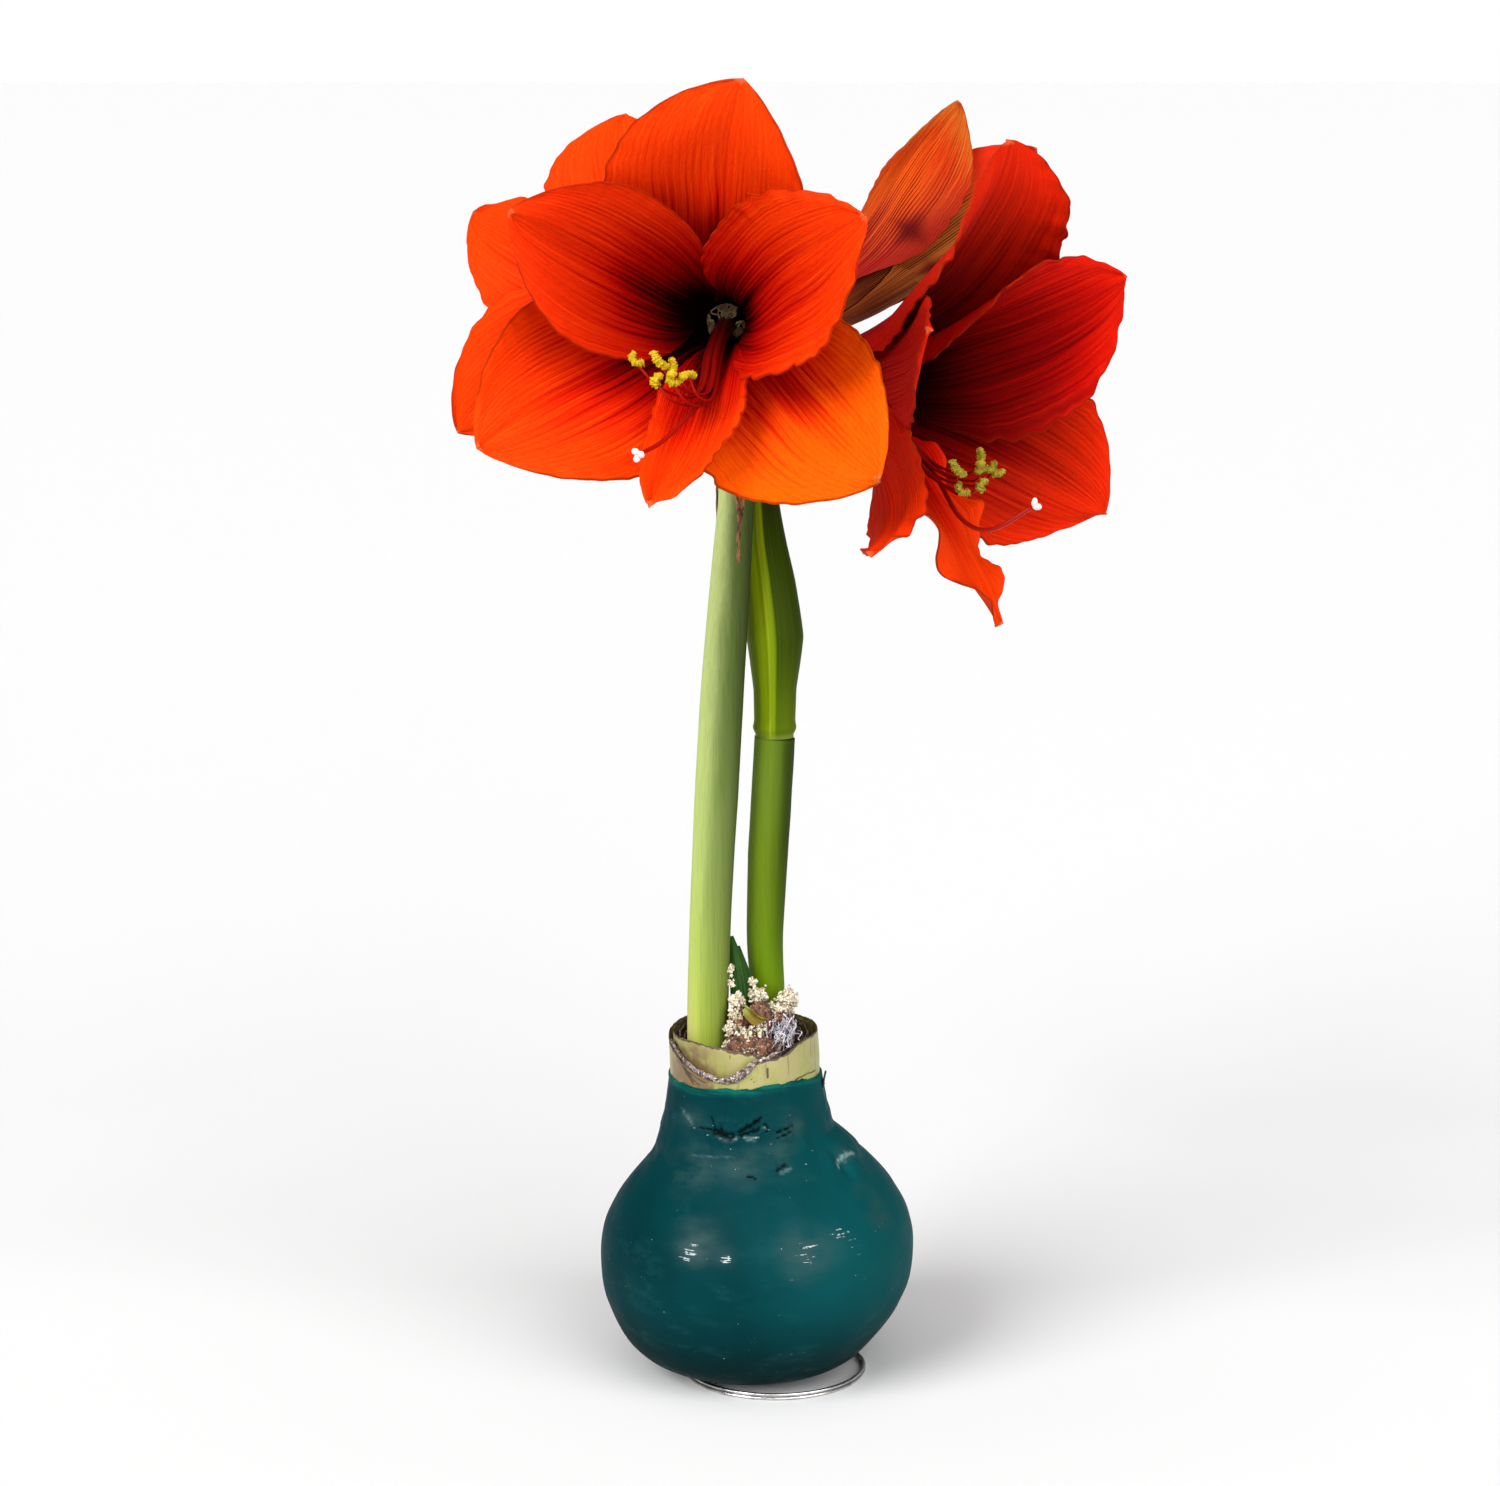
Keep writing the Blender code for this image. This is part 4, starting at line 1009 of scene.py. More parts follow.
def ball(name: str, level: int) -> Object:
    """A plain ball of radius 1 round the origin.

    Args:
        name: The piece's name.
        level: How finely it is divided.

    Returns:
        The mesh object.
    """
    deselect()
    bpy.ops.mesh.primitive_ico_sphere_add(subdivisions=level, radius=1.0)
    piece = bpy.context.object
    piece.name = name
    return piece


def mark(piece: Object, name: str, values: Sequence[float]) -> None:
    """Gives a piece's points one number each."""
    layer = piece.data.attributes.new(name, "FLOAT", "POINT")
    layer.data.foreach_set("value", values)


def merge(piece: Object, recalculate: bool = False) -> None:
    """Joins points that share a place.

    Args:
        piece: The mesh object.
        recalculate: Whether its faces are turned outwards too.
    """
    take(piece)
    bpy.ops.object.mode_set(mode="EDIT")
    bpy.ops.mesh.select_all(action="SELECT")
    bpy.ops.mesh.remove_doubles(threshold=MERGE)
    if recalculate:
        bpy.ops.mesh.normals_make_consistent(inside=False)
    bpy.ops.object.mode_set(mode="OBJECT")


def thicken(piece: Object, thickness: float, second: bool = False) -> None:
    """Gives a sheet its thickness, half to each side.

    Args:
        piece: The sheet.
        thickness: In metres.
        second: Whether the face that is added takes the piece's second material.
    """
    take(piece)
    wall = piece.modifiers.new("Wall", "SOLIDIFY")
    wall.thickness = thickness
    wall.offset = 0.0
    wall.use_even_offset = False
    wall.use_rim = True
    wall.material_offset = 1 if second else 0
    bpy.ops.object.modifier_apply(modifier=wall.name)


def join(pieces: Sequence[Object]) -> Object:
    """Makes one object of several.

    Args:
        pieces: The objects; the first gives its name.

    Returns:
        The joined object.
    """
    if len(pieces) > 1:
        take(*pieces)
        bpy.ops.object.join()
    return pieces[0]


def dress(piece: Object, finishes: Sequence[object]) -> None:
    """Gives a piece its materials."""
    for finish in finishes:
        piece.data.materials.append(Wardrobe.of(finish))


def settle(
    piece: Object, slot: Slot, finishes: Sequence[object], replaces: Sequence[str] = (), sharp: float = 60.0
) -> None:
    """Dresses a finished piece and lets it ride on the part.

    Args:
        piece: The mesh object.
        slot: The record's slot; it is not used.
        finishes: One finish for each of the mesh's material places.
        replaces: The nodes that it stands for.
        sharp: Edges bent by more than this angle, in degrees, stay crisp.
    """
    piece.data.transform(piece.matrix_world)
    piece.matrix_world.identity()
    for vertex in piece.data.vertices:
        vertex.co += PLAN_SHIFT
    if not piece.data.materials:
        dress(piece, finishes)
    take(piece)
    bpy.ops.object.shade_smooth_by_angle(angle=radians(sharp))
    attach(piece, ROOT_BODY)
    if replaces:
        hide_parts(*replaces)
    LOG.info("%s: %d faces", piece.name, len(piece.data.polygons))


class Path:
    """A line with frames that don't spin along it."""

    def __init__(self, points: Sequence[Vector], first_side: Optional[Vector] = None) -> None:
        """Walks the line.

        Args:
            points: Its points, evenly spread.
            first_side: The direction that angle 0 of a ring round it starts from.
        """
        self.points = points
        self.frames = []
        side = first_side
        last = len(points) - 1
        for i in range(last + 1):
            ahead = (points[min(i + 1, last)] - points[max(i - 1, 0)]).normalized()
            side = ahead.orthogonal() if side is None else side
            side = (side - ahead * side.dot(ahead)).normalized()
            self.frames.append((side, ahead.cross(side), ahead))

    @classmethod
    def through(cls, knots: Sequence[Sequence[float]], count: int, side: Optional[Vector] = None) -> "Path":
        """The smooth line through a few knots, in count steps."""
        return cls([spline(knots, i / count) for i in range(count + 1)], side)

    def at(self, t: float) -> tuple[Vector, Vector, Vector, Vector]:
        """The centre, side, other side and direction at share t."""
        i = min(int(round(t * (len(self.points) - 1))), len(self.points) - 1)
        return (self.points[i], *self.frames[i])


def tube(
    name: str, path: Path, around: int, reach: Reach, flat: float = 1.0, level: bool = False
) -> Object:
    """A closed tube along a path.

    Args:
        name: The piece's name.
        path: The line that it follows, with one frame for each row of points.
        around: Sides.
        reach: The radius at a turn angle and a share of the length.
        flat: How far the second direction is pressed in.
        level: Whether both ends lie flat.

    Returns:
        The mesh object; its map "blade" holds the turn and the share of the length.
    """
    rows = len(path.points) - 1

    def place(u: float, v: float) -> Vector:
        """A point of the tube; the first and last rows are its end points."""
        row = v * (rows + 2) - 1.0
        t = min(max(row / rows, 0.0), 1.0)
        centre, side, other, _ = path.at(t)
        radius = 0.0 if row < -0.5 or row > rows + 0.5 else reach(tau * u, t)
        point = centre + (side * cos(tau * u) + other * sin(tau * u) * flat) * radius
        if level and t in (0.0, 1.0):
            point.z = centre.z
        return point

    piece = sheet(name, around, rows + 2, place)
    merge(piece, recalculate=True)
    return piece


# The wire stand


@dataclass
class WireStand:
    """Two stacked turns of wire, an arm that winds in under the bulb, and its leg."""

    radius: float = 0.00056
    turn_radius: float = 0.0292
    centre: tuple[float, float] = (0.0029, -0.0008)
    foot: tuple[float, float] = (-0.0053, 0.003)
    low: float = 0.00058
    high: float = 0.0018
    leg_top: float = 0.019
    arm_turn: float = 0.62
    sides: int = 12

    def line(self) -> list[Vector]:
        """Lays the wire from the lower turn to the top of the leg.

        Returns:
            The points of its middle line.
        """
        middle, foot = Vector((*self.centre, 0.0)), Vector((*self.foot, 0.0))
        turn, arm, leg = 96, 60, 11
        line = []
        for i in range(2 * turn):
            angle = tau * i / turn
            z = mix(self.low, self.high, smooth((i - turn) / (turn * 0.15)))
            line.append(middle + compass(angle) * self.turn_radius + raised(z))
        for i in range(1, arm):
            t = i / arm
            reach = mix(self.turn_radius, 0.0006, smooth(t) ** 0.9)
            ring = compass(tau * self.arm_turn * t) * reach
            line.append(middle.lerp(foot, t) + ring + raised(self.high))
        for i in range(leg + 1):
            line.append(foot + raised(mix(self.high + 0.0004, self.leg_top, i / leg)))
        return line

    def build(self) -> None:
        """Bends the wire and dresses it."""
        path = Path(self.line(), Vector((1, 0, 0)))
        piece = tube("wire_coil", path, self.sides, lambda angle, t: self.radius)
        settle(piece, Slot.WIRE, [WireFinish()], ["wire_stand"])


# The bulb and its wax


@dataclass
class BulbShape:
    """The bulb's outline, which the wax and the scales share."""

    profile: tuple[tuple[float, float], ...] = (
        (0.0026, 0.0125), (0.0026, 0.0225), (0.0036, 0.029), (0.0062, 0.0345), (0.0098, 0.0387),
        (0.0152, 0.043), (0.022, 0.0468), (0.03, 0.0497), (0.039, 0.0507), (0.047, 0.05), (0.054, 0.0474),
        (0.061, 0.043), (0.068, 0.037), (0.074, 0.0324), (0.0806, 0.0282), (0.088, 0.0262), (0.095, 0.0252),
        (0.0985, 0.0247),
    )
    axis: tuple[tuple[float, float], ...] = (
        (0.0, -0.0054), (0.012, -0.0047), (0.022, -0.0037), (0.032, -0.0029), (0.046, -0.0024),
        (0.06, -0.0019), (0.068, -0.0021), (0.074, -0.0028), (0.081, -0.0058), (0.095, -0.0064),
        (0.12, -0.0076),
    )
    y: float = 0.003
    neck_radius: float = 0.024
    neck_top: float = 0.113
    neck_floor: float = 0.1035
    scale: float = 0.0013

    def centre(self, height: float) -> Vector:
        """The middle of the cross-section at a height."""
        return Vector((along_table(self.axis, height), self.y, 0.0))

    def at(self, angle: float, reach: float, height: float) -> Vector:
        """The point at a height, this far from the middle."""
        return self.centre(height) + Vector((reach * cos(angle), reach * sin(angle), height))

    def outline(self, t: float) -> tuple[float, float, float, float]:
        """Reads the profile.

        Args:
            t: The share of its rows.

        Returns:
            Height, radius, and the outward direction as its parts along the radius and up.
        """
        knots = [(r, z, 0.0) for z, r in self.profile]
        point = spline(knots, t)
        ahead = spline(knots, min(t + 0.004, 1.0)) - spline(knots, max(t - 0.004, 0.0))
        ahead.normalize()
        return point.y, point.x, ahead.y, -ahead.x

    def inner_rim(self, angle: float) -> float:
        """How far the inner scale's edge stands over the neck's top; it is torn down at the front right."""
        return 0.0003 * sin(5 * angle + 1.0) - 0.0002 - 0.0045 * bell(off(angle, -57), 32)

    def outer_rim(self, angle: float) -> float:
        """The same for the outer scale, which swoops down across the front, steeper on its right."""
        turn = off(angle, -106)
        return 0.0004 - 0.0112 * bell(turn, 60 if turn < 0 else 26) - 0.0035 * bell(off(angle, -62), 16)


BULB = BulbShape()


@dataclass(frozen=True)
class Crease:
    """A gap, fold or split: points of (angle in degrees, height), its width and its depth.

    lip is how far its edges stand out, as a share of the depth, or how strongly a streak glints.
    """

    points: tuple[tuple[float, float], ...]
    width: float
    depth: float
    lip: float = 0.5

    def effect(self, angle: float, height: float, radius: float) -> tuple[float, float]:
        """What the crease does at a point of the coat.

        Args:
            angle: Round the bulb, in degrees.
            height: Over the floor.
            radius: The coat's radius there.

        Returns:
            How far the surface moves out, and how much darkness lies there: painted shade in a gap of the
            wax coat, browning along a split of the bulb scales.
        """
        best, share = 1.0, 0.0
        x = radians(angle) * radius
        count = len(self.points) - 1
        for i, ((a, z0), (b, z1)) in enumerate(zip(self.points, self.points[1:])):
            x0, x1 = radians(a) * radius, radians(b) * radius
            dx, dz = x1 - x0, z1 - z0
            t = max(0.0, min(1.0, ((x - x0) * dx + (height - z0) * dz) / (dx * dx + dz * dz)))
            gap = hypot(x - x0 - dx * t, height - z0 - dz * t)
            gap *= 1.0 + 0.9 * wobble(x * 700, height * 700, 3.0)
            if gap < best:
                best, share = gap, (i + t) / count
        if best > self.width * 5:
            return 0.0, 0.0
        fade = smooth(min(share, 1.0 - share) * 7.0)
        width = self.width * (0.45 + 0.55 * fade)
        deep = bell(best, width)
        lip = bell(best - 2.0 * width, 1.1 * width)
        return self.depth * fade * (self.lip * lip - deep), deep * fade


@dataclass
class WaxCoat:
    """The dipped coat: a closed wall with dents, soft ridges, gaps and a thin uneven edge.

    Folds lie between fold_angles, in degrees, and between fold_heights. Over lift_from the outline
    is stretched to meet the edge. A drop is its angle in degrees, its height and its size.
    """

    around: int = 300
    outside_rows: int = 210
    inside_rows: int = 12
    wall: float = 0.0012
    creases: tuple[Crease, ...] = (
        Crease(((-128, 0.0863), (-123, 0.0865), (-115, 0.0865), (-111, 0.0861)), 0.0003, 0.0006),
        Crease(
            ((-116, 0.0864), (-110, 0.0858), (-106, 0.0852), (-102, 0.0851), (-97, 0.0858)), 0.00135,
            0.0011, 0.5,
        ),
        Crease(((-116, 0.0912), (-114, 0.0895), (-112, 0.0878), (-110, 0.0863)), 0.00026, 0.0004),
        Crease(((-99, 0.0858), (-92, 0.0873), (-86, 0.0888), (-82, 0.09), (-78, 0.091)), 0.00056, 0.001),
        Crease(((-83, 0.0892), (-77, 0.0887), (-75, 0.0873), (-78, 0.086)), 0.00034, 0.0006),
        Crease(((-99, 0.0855), (-91, 0.086), (-84, 0.0868), (-80, 0.088)), 0.00046, 0.0008),
        Crease(((-71, 0.0859), (-64, 0.0865), (-55, 0.0874)), 0.0003, 0.0009),
        Crease(((-71, 0.0842), (-64, 0.0848), (-58, 0.0856)), 0.00026, 0.0007),
        Crease(((-79, 0.075), (-74, 0.0761), (-69, 0.0768)), 0.0003, 0.0008),
        Crease(((-97, 0.0735), (-93, 0.0738), (-90, 0.0728)), 0.00024, 0.0005),
    )
    # painted glints: pale streaks along the folds, which move nothing
    glints: tuple[Crease, ...] = (
        Crease(
            ((-16, 0.074), (-23, 0.0748), (-30, 0.0751), (-37, 0.0741), (-39, 0.0722)), 0.00042, 0.0, 0.8,
        ),
        Crease(((-113, 0.085), (-105, 0.0839), (-100, 0.0839), (-95, 0.0847)), 0.00032, 0.0, 0.45),
        Crease(((-93, 0.0849), (-88, 0.0845), (-82, 0.0846)), 0.00045, 0.0, 0.6),
        Crease(((-142, 0.0912), (-135, 0.0888), (-129, 0.0868)), 0.00045, 0.0, 0.3),
        Crease(((-131, 0.0777), (-112, 0.0786), (-97, 0.0793)), 0.00022, 0.0, 0.18),
        Crease(((-81, 0.0884), (-77, 0.0878), (-77, 0.0866)), 0.00028, 0.0, 0.35),
        Crease(((-78, 0.0742), (-72, 0.075), (-68, 0.0757)), 0.00024, 0.0, 0.35),
    )
    drops: tuple[tuple[float, ...], ...] = (
        (-128, 0.0863, 0.0006), (-117, 0.0848, 0.0006), (-101, 0.0811, 0.0005), (-108, 0.0843, 0.0005),
        (-84, 0.0848, 0.0012), (-90, 0.0847, 0.0008), (-74, 0.0825, 0.0006), (-59, 0.0762, 0.0006),
        (-48, 0.079, 0.0004), (-75, 0.0872, 0.0006), (-140, 0.0952, 0.0004),
    )
    lift_from: float = 0.086
    fold_angles: tuple[float, float] = (-145, -12)
    fold_heights: tuple[float, float] = (0.068, 0.094)
    edge_wall: float = 0.0006
    bead_size: float = 0.62

    def warp(self, u: float) -> float:
        """The angle for a share of the way round, with more points at the front."""
        return tau * u - pi / 2 + pi + 0.42 * sin(tau * u)

    def lumps(self, angle: float, height: float) -> float:
        """How far hand-dipped wax stands out from the turned outline.

        Args:
            angle: Round the bulb, in radians.
            height: Over the floor.

        Returns:
            The distance, in metres.
        """
        c, s = cos(angle), sin(angle)
        broad = 0.0007 * wobble(c * 1.6, s * 1.6, height * 34)
        small = 0.0003 * wobble(c * 5 + 7, s * 5, height * 130)
        shoulder = smooth((height - 0.066) / 0.004) * smooth((0.094 - height) / 0.006)
        rings = bell(height - 0.0775, 0.0026)
        rings = rings - 0.8 * bell(height - 0.0718, 0.0024) - 0.6 * bell(height - 0.0815, 0.0018)
        rings *= 0.5 + 0.5 * wobble(c * 2.4, s * 2.4, 3.0)
        folds = 0.0003 * wobble(c * 5, s * 5, height * 260 + 9)
        turn = off(angle)
        bump = 0.0013 * exp(-(((turn + 22) / 9.0) ** 2) - ((height - 0.0725) / 0.0046) ** 2)
        groove = -0.0009 * exp(-(((turn + 34) / 3.4) ** 2) - ((height - 0.0735) / 0.0042) ** 2)
        waist = -0.0008 * exp(-(((turn + 90) / 42) ** 2) - ((height - 0.0815) / 0.0034) ** 2)
        foot = smooth((height - 0.004) / 0.008)
        return (broad + small) * foot + shoulder * (0.00055 * rings + folds) + bump + groove + waist

    def rim(self, angle: float) -> float:
        """The dipped edge's height at an angle."""
        wave = 0.0004 * sin(3 * angle) + 0.0018 * bell(off(angle, -50), 34)
        c, s = cos(angle), sin(angle)
        return 0.0991 + wave + 0.0008 * wobble(c * 6, s * 6, 2.0) + 0.0003 * wobble(c * 22, s * 22, 5.0)

    def lifted(self, angle: float, height: float, under: float = 0.0) -> float:
        """Stretches the outline so that its top meets the dipped edge.

        Args:
            angle: Round the bulb, in radians.
            height: A height of the outline.
            under: How far below the edge the top ends.

        Returns:
            The stretched height.
        """
        top = BULB.profile[-1][0]
        share = smooth((height - self.lift_from) / (top - self.lift_from))
        return height + (self.rim(angle) - under - top) * share

    def folded(self, angle: float, height: float, radius: float) -> tuple[float, float, float]:
        """What the folds do at a point of the coat.

        Args:
            angle: Round the bulb, in radians.
            height: Over the floor.
            radius: The coat's radius there.

        Returns:
            How far the surface moves out, how much painted shade lies in its gaps and how much painted glint
            lies on it.
        """
        turn = off(angle)
        (left, right), (low, high) = self.fold_angles, self.fold_heights
        if not (low < height < high and left < turn < right):
            return 0.0, 0.0, 0.0
        effects = [crease.effect(turn, height, radius) for crease in self.creases]
        glint = max(streak.lip * streak.effect(turn, height, radius)[1] for streak in self.glints)
        return sum(move for move, _ in effects), max(dark for _, dark in effects), glint

    def build(self) -> None:
        """Turns the coat and dresses it."""
        rows = self.outside_rows + self.inside_rows + 2
        marks: dict[str, list[float]] = {"crack": [], "film": [], "glint": []}

        def outside(angle: float, t: float) -> Vector:
            """A point of the outer face at share t of the outline, with its marks."""
            height, radius, out, up = BULB.outline(t)
            height = self.lifted(angle, height)
            shift, dark, pale = self.folded(angle, height, radius)
            move = (self.lumps(angle, height) + shift) * (1.0 - smooth((t - 0.97) / 0.03))
            marks["crack"].append(smooth((dark - 0.1) / 0.85))
            marks["film"].append(smooth((height - self.rim(angle) + 0.003) / 0.0026))
            marks["glint"].append(pale)
            reach = radius + out * move - 0.0005 * smooth((t - 0.985) / 0.015)
            return BULB.centre(height) + compass(angle) * reach + raised(max(height + up * move, 0.0025))

        def place(u: float, v: float) -> Vector:
            """A point of the wall, up its outer face and down its inner one."""
            row = round(v * rows)
            angle = self.warp(u)
            if row <= self.outside_rows:
                return outside(angle, row / self.outside_rows)
            marks["crack"].append(0.0)
            marks["film"].append(1.0 if row < self.outside_rows + 3 else 0.0)
            marks["glint"].append(0.0)
            t = 1.0 - (row - self.outside_rows - 1) / (self.inside_rows + 1)
            height, radius, out, up = BULB.outline(t)
            depth = mix(self.wall, self.edge_wall, smooth((t - 0.9) / 0.1))
            height = self.lifted(angle, height, 0.0001)
            ring = compass(angle) * (radius - out * depth)
            return BULB.centre(height) + ring + raised(height - up * depth)

        piece = sheet("wax_skin", self.around, rows, place)
        for name, values in marks.items():
            mark(piece, name, values)
        self.close_foot(piece)
        settle(piece, Slot.WAX, [WaxFinish()], ["wax_coat"], sharp=75)
        self.build_drops()
        self.build_flap()

    def build_drops(self) -> None:
        """Small pale beads of wax round the folds."""
        beads = []
        for turn, height, size in self.drops:
            angle = radians(turn)
            radius = along_table(BULB.profile, height) + self.lumps(angle, height)
            bead = ball("wax_beads", 3)
            size *= self.bead_size
            centre = BULB.centre(height) + raised(height) + compass(angle) * (radius - 0.3 * size)
            for vertex in bead.data.vertices:
                x, y, z = vertex.co
                swell = 1.0 + 0.5 * wobble(x * 1.5, y * 1.5, turn + z)
                vertex.co = centre + Vector((1.3 * x, y, 0.7 * z)) * size * swell
            beads.append(bead)
        bead_finish = DryFinish("wax_bead", (0.08, 0.17, 0.15), (0.015, 0.07, 0.07), (0.5, 0.56, 0.48))
        settle(join(beads), Slot.WAX, [bead_finish])

    def close_foot(self, piece: Object) -> None:
        """Joins the wall's two lower edges round the hole for the leg.

        Args:
            piece: The wall, still open at its foot.
        """
        merge(piece)
        take(piece)
        bpy.ops.object.mode_set(mode="EDIT")
        bpy.ops.mesh.select_all(action="DESELECT")
        bpy.ops.mesh.select_non_manifold(extend=False)
        bpy.ops.mesh.bridge_edge_loops()
        bpy.ops.mesh.select_all(action="SELECT")
        bpy.ops.mesh.normals_make_consistent(inside=False)
        bpy.ops.object.mode_set(mode="OBJECT")

    def build_flap(self) -> None:
        """A dark papery scrap of skin that sticks out of the coat's edge at the right."""
        foot = BULB.centre(0.094) + Vector((0.0246, -0.004, 0.0))

        def place(u: float, v: float) -> Vector:
            """A point of the scrap, from its foot (0) to its curled tip (1)."""
            side = (u - 0.5) * mix(0.004, 0.0026, v)
            curl = 0.0003 + 0.0007 * v * v + 0.0002 * wobble(u * 5, v * 5)
            return foot + Vector((curl, side, 0.095 + 0.0048 * v + 0.0004 * wobble(u * 6, 3.0)))

        piece = sheet("edge_scrap", 10, 10, place)
        thicken(piece, 0.0004)
        dark = DryFinish("dark_scrap", (0.03, 0.03, 0.03), (0.008, 0.012, 0.012), (0.05, 0.06, 0.06))
        settle(piece, Slot.WAX, [dark])


@dataclass
class BulbScales:
    """The bulb under the wax and its cut neck: two scale rings, their torn edges and the floor."""

    around: int = 200
    splits: tuple[Crease, ...] = (
        Crease(
            ((-179, 0.1098), (-160, 0.1094), (-146, 0.1054), (-137, 0.1012), (-130, 0.0985)), 0.00042,
            0.0004,
        ),
        Crease(((-152, 0.1066), (-141, 0.104), (-134, 0.1012), (-124, 0.0988)), 0.0003, 0.0003),
        Crease(((-146, 0.1054), (-139, 0.1034), (-128, 0.1016), (-118, 0.1004)), 0.00022, 0.0002),
        Crease(((-54, 0.0998), (-45, 0.1013), (-33, 0.1017), (-14, 0.1012)), 0.0003, 0.0003),
        Crease(((-87, 0.104), (-84, 0.1027), (-81, 0.101)), 0.00018, 0.0002),
        Crease(((-72, 0.107), (-72, 0.1035), (-71, 0.101)), 0.00012, 0.0001),
        Crease(((-101, 0.112), (-101, 0.107)), 0.0001, 0.0001),
        Crease(((-122, 0.1122), (-121, 0.109)), 0.0001, 0.0001),
    )

    def ring(self, name: str, radius: float, foot: float, rim: Rim, seed: float) -> Object:
        """One scale as a closed wall that thins out to a ragged upper edge.

        Args:
            name: The piece's name.
            radius: Its outer radius.
            foot: The height that it starts from.
            rim: How far its edge stands over the neck's top, by angle.
            seed: Sets its own unevenness.

        Returns:
            The mesh object, marked "cut" at the edge and along its splits.
        """
        cut: list[float] = []

        def place(u: float, v: float) -> Vector:
            """A point of the wall, up its outer face and down its inner one."""
            angle = tau * u
            c, s = cos(angle), sin(angle)
            inside = smooth((v - 0.47) / 0.06) if v < 1.0 else 0.0
            t = 2 * v if v < 0.5 else 2 * (1 - v)
            ragged = 0.00035 * wobble(c * 9, s * 9, seed) + 0.00025 * wobble(c * 30, s * 30, seed)
            top = BULB.neck_top + rim(angle) + ragged
            height = mix(foot, top, t)
            wave = 0.0003 * wobble(c * 3, s * 3, height * 90 + seed) * smooth((height - 0.1) / 0.004)
            thick = mix(BULB.scale, 0.0004, smooth((t - 0.7) / 0.3))
            edge = smooth((height - top + 0.0011 + 0.0006 * wobble(c * 12, s * 12, seed + 4)) / 0.0008)
            dent = 0.0
            if v < 0.5:
                for split in self.splits:
                    shift, dark = split.effect(off(angle), height, radius)
                    dent += min(shift, 0.0)
                    edge = max(edge, dark)
            cut.append(max(edge, 0.58 * inside))
            return BULB.at(angle, radius + wave + dent - thick * inside, height)

        piece = sheet(name, self.around, 110, place)
        mark(piece, "cut", cut)
        merge(piece, recalculate=True)
        return piece

    def core(self) -> Object:
        """The body inside the wax, closed over by the floor of the neck.

        Returns:
            The mesh object, marked "cut" on the floor.
        """
        inset, side_share = 0.0016, 0.8
        cut: list[float] = []

        def place(u: float, v: float) -> Vector:
            """A point of the body, up its side and in over the floor of the neck."""
            angle = tau * u
            if v <= side_share:
                height, radius, out, up = BULB.outline(v / side_share)
                cut.append(0.0)
                return BULB.at(angle, max(radius - out * inset, 0.001) if v else 0.0, height - up * inset)
            reach = mix(BULB.neck_radius - 0.003, 0.0, (v - side_share) / (1.0 - side_share))
            cut.append(0.75)
            rough = 0.0006 * wobble(cos(angle) * reach * 500, sin(angle) * reach * 500, 1.0)
            return BULB.at(angle, reach, BULB.neck_floor + rough + 0.0005 * sin(reach * 3200))

        piece = sheet("core", 64, 100, place)
        mark(piece, "cut", cut)
        merge(piece, recalculate=True)
        return piece

    def build(self) -> None:
        """Builds the body and both scales as one piece, then the dried skins on them."""
        outer = self.ring("bulb_scales", BULB.neck_radius, 0.0935, BULB.outer_rim, 1.0)
        inner = self.ring("inner_scale", BULB.neck_radius - BULB.scale - 0.0003, 0.097, BULB.inner_rim, 6.0)
        settle(join([outer, inner, self.core()]), Slot.BULB, [ScaleFinish()], ["bulb"])
        self.build_dry_rings()
        self.build_torn_edge()

    def build_dry_rings(self) -> None:
        """Two papery brown scales just inside the fresh ones."""
        rings = []
        for radius, drop, seed in ((0.0204, 0.0004, 3.0), (0.019, 0.0017, 8.0)):

            def rim(angle: float) -> float:
                """How far the edge stands over the neck's top."""
                crinkle = 0.0006 * wobble(5 * cos(angle), 5 * sin(angle), seed)
                return -drop - 0.006 * bell(off(angle, -105), 62) + crinkle

            rings.append(self.paper_ring(radius, rim, seed))
        settle(join(rings), Slot.BULB, [DRY_SCALE], sharp=50)

    def paper_ring(self, radius: float, rim: Rim, seed: float) -> Object:
        """One crinkled papery ring.

        Args:
            radius: Its middle radius.
            rim: How far its edge stands over the neck's top, by angle.
            seed: Sets its own unevenness.

        Returns:
            The mesh object.
        """

        def place(u: float, v: float) -> Vector:
            """A point of the ring, from its foot (0) to its edge (1)."""
            angle = tau * u
            c, s = cos(angle), sin(angle)
            top = BULB.neck_top + rim(angle) + 0.0004 * wobble(c * 26, s * 26, seed)
            height = mix(BULB.neck_floor - 0.001, top, v)
            crinkle = 0.0008 * wobble(c * 9, s * 9, seed + v) + 0.0003 * wobble(c * 30, s * 30, seed + 2 * v)
            return BULB.at(angle, radius + crinkle * v, height)

        piece = sheet("dry_scales", 220, 14, place)
        merge(piece)
        thicken(piece, 0.0004)
        return piece

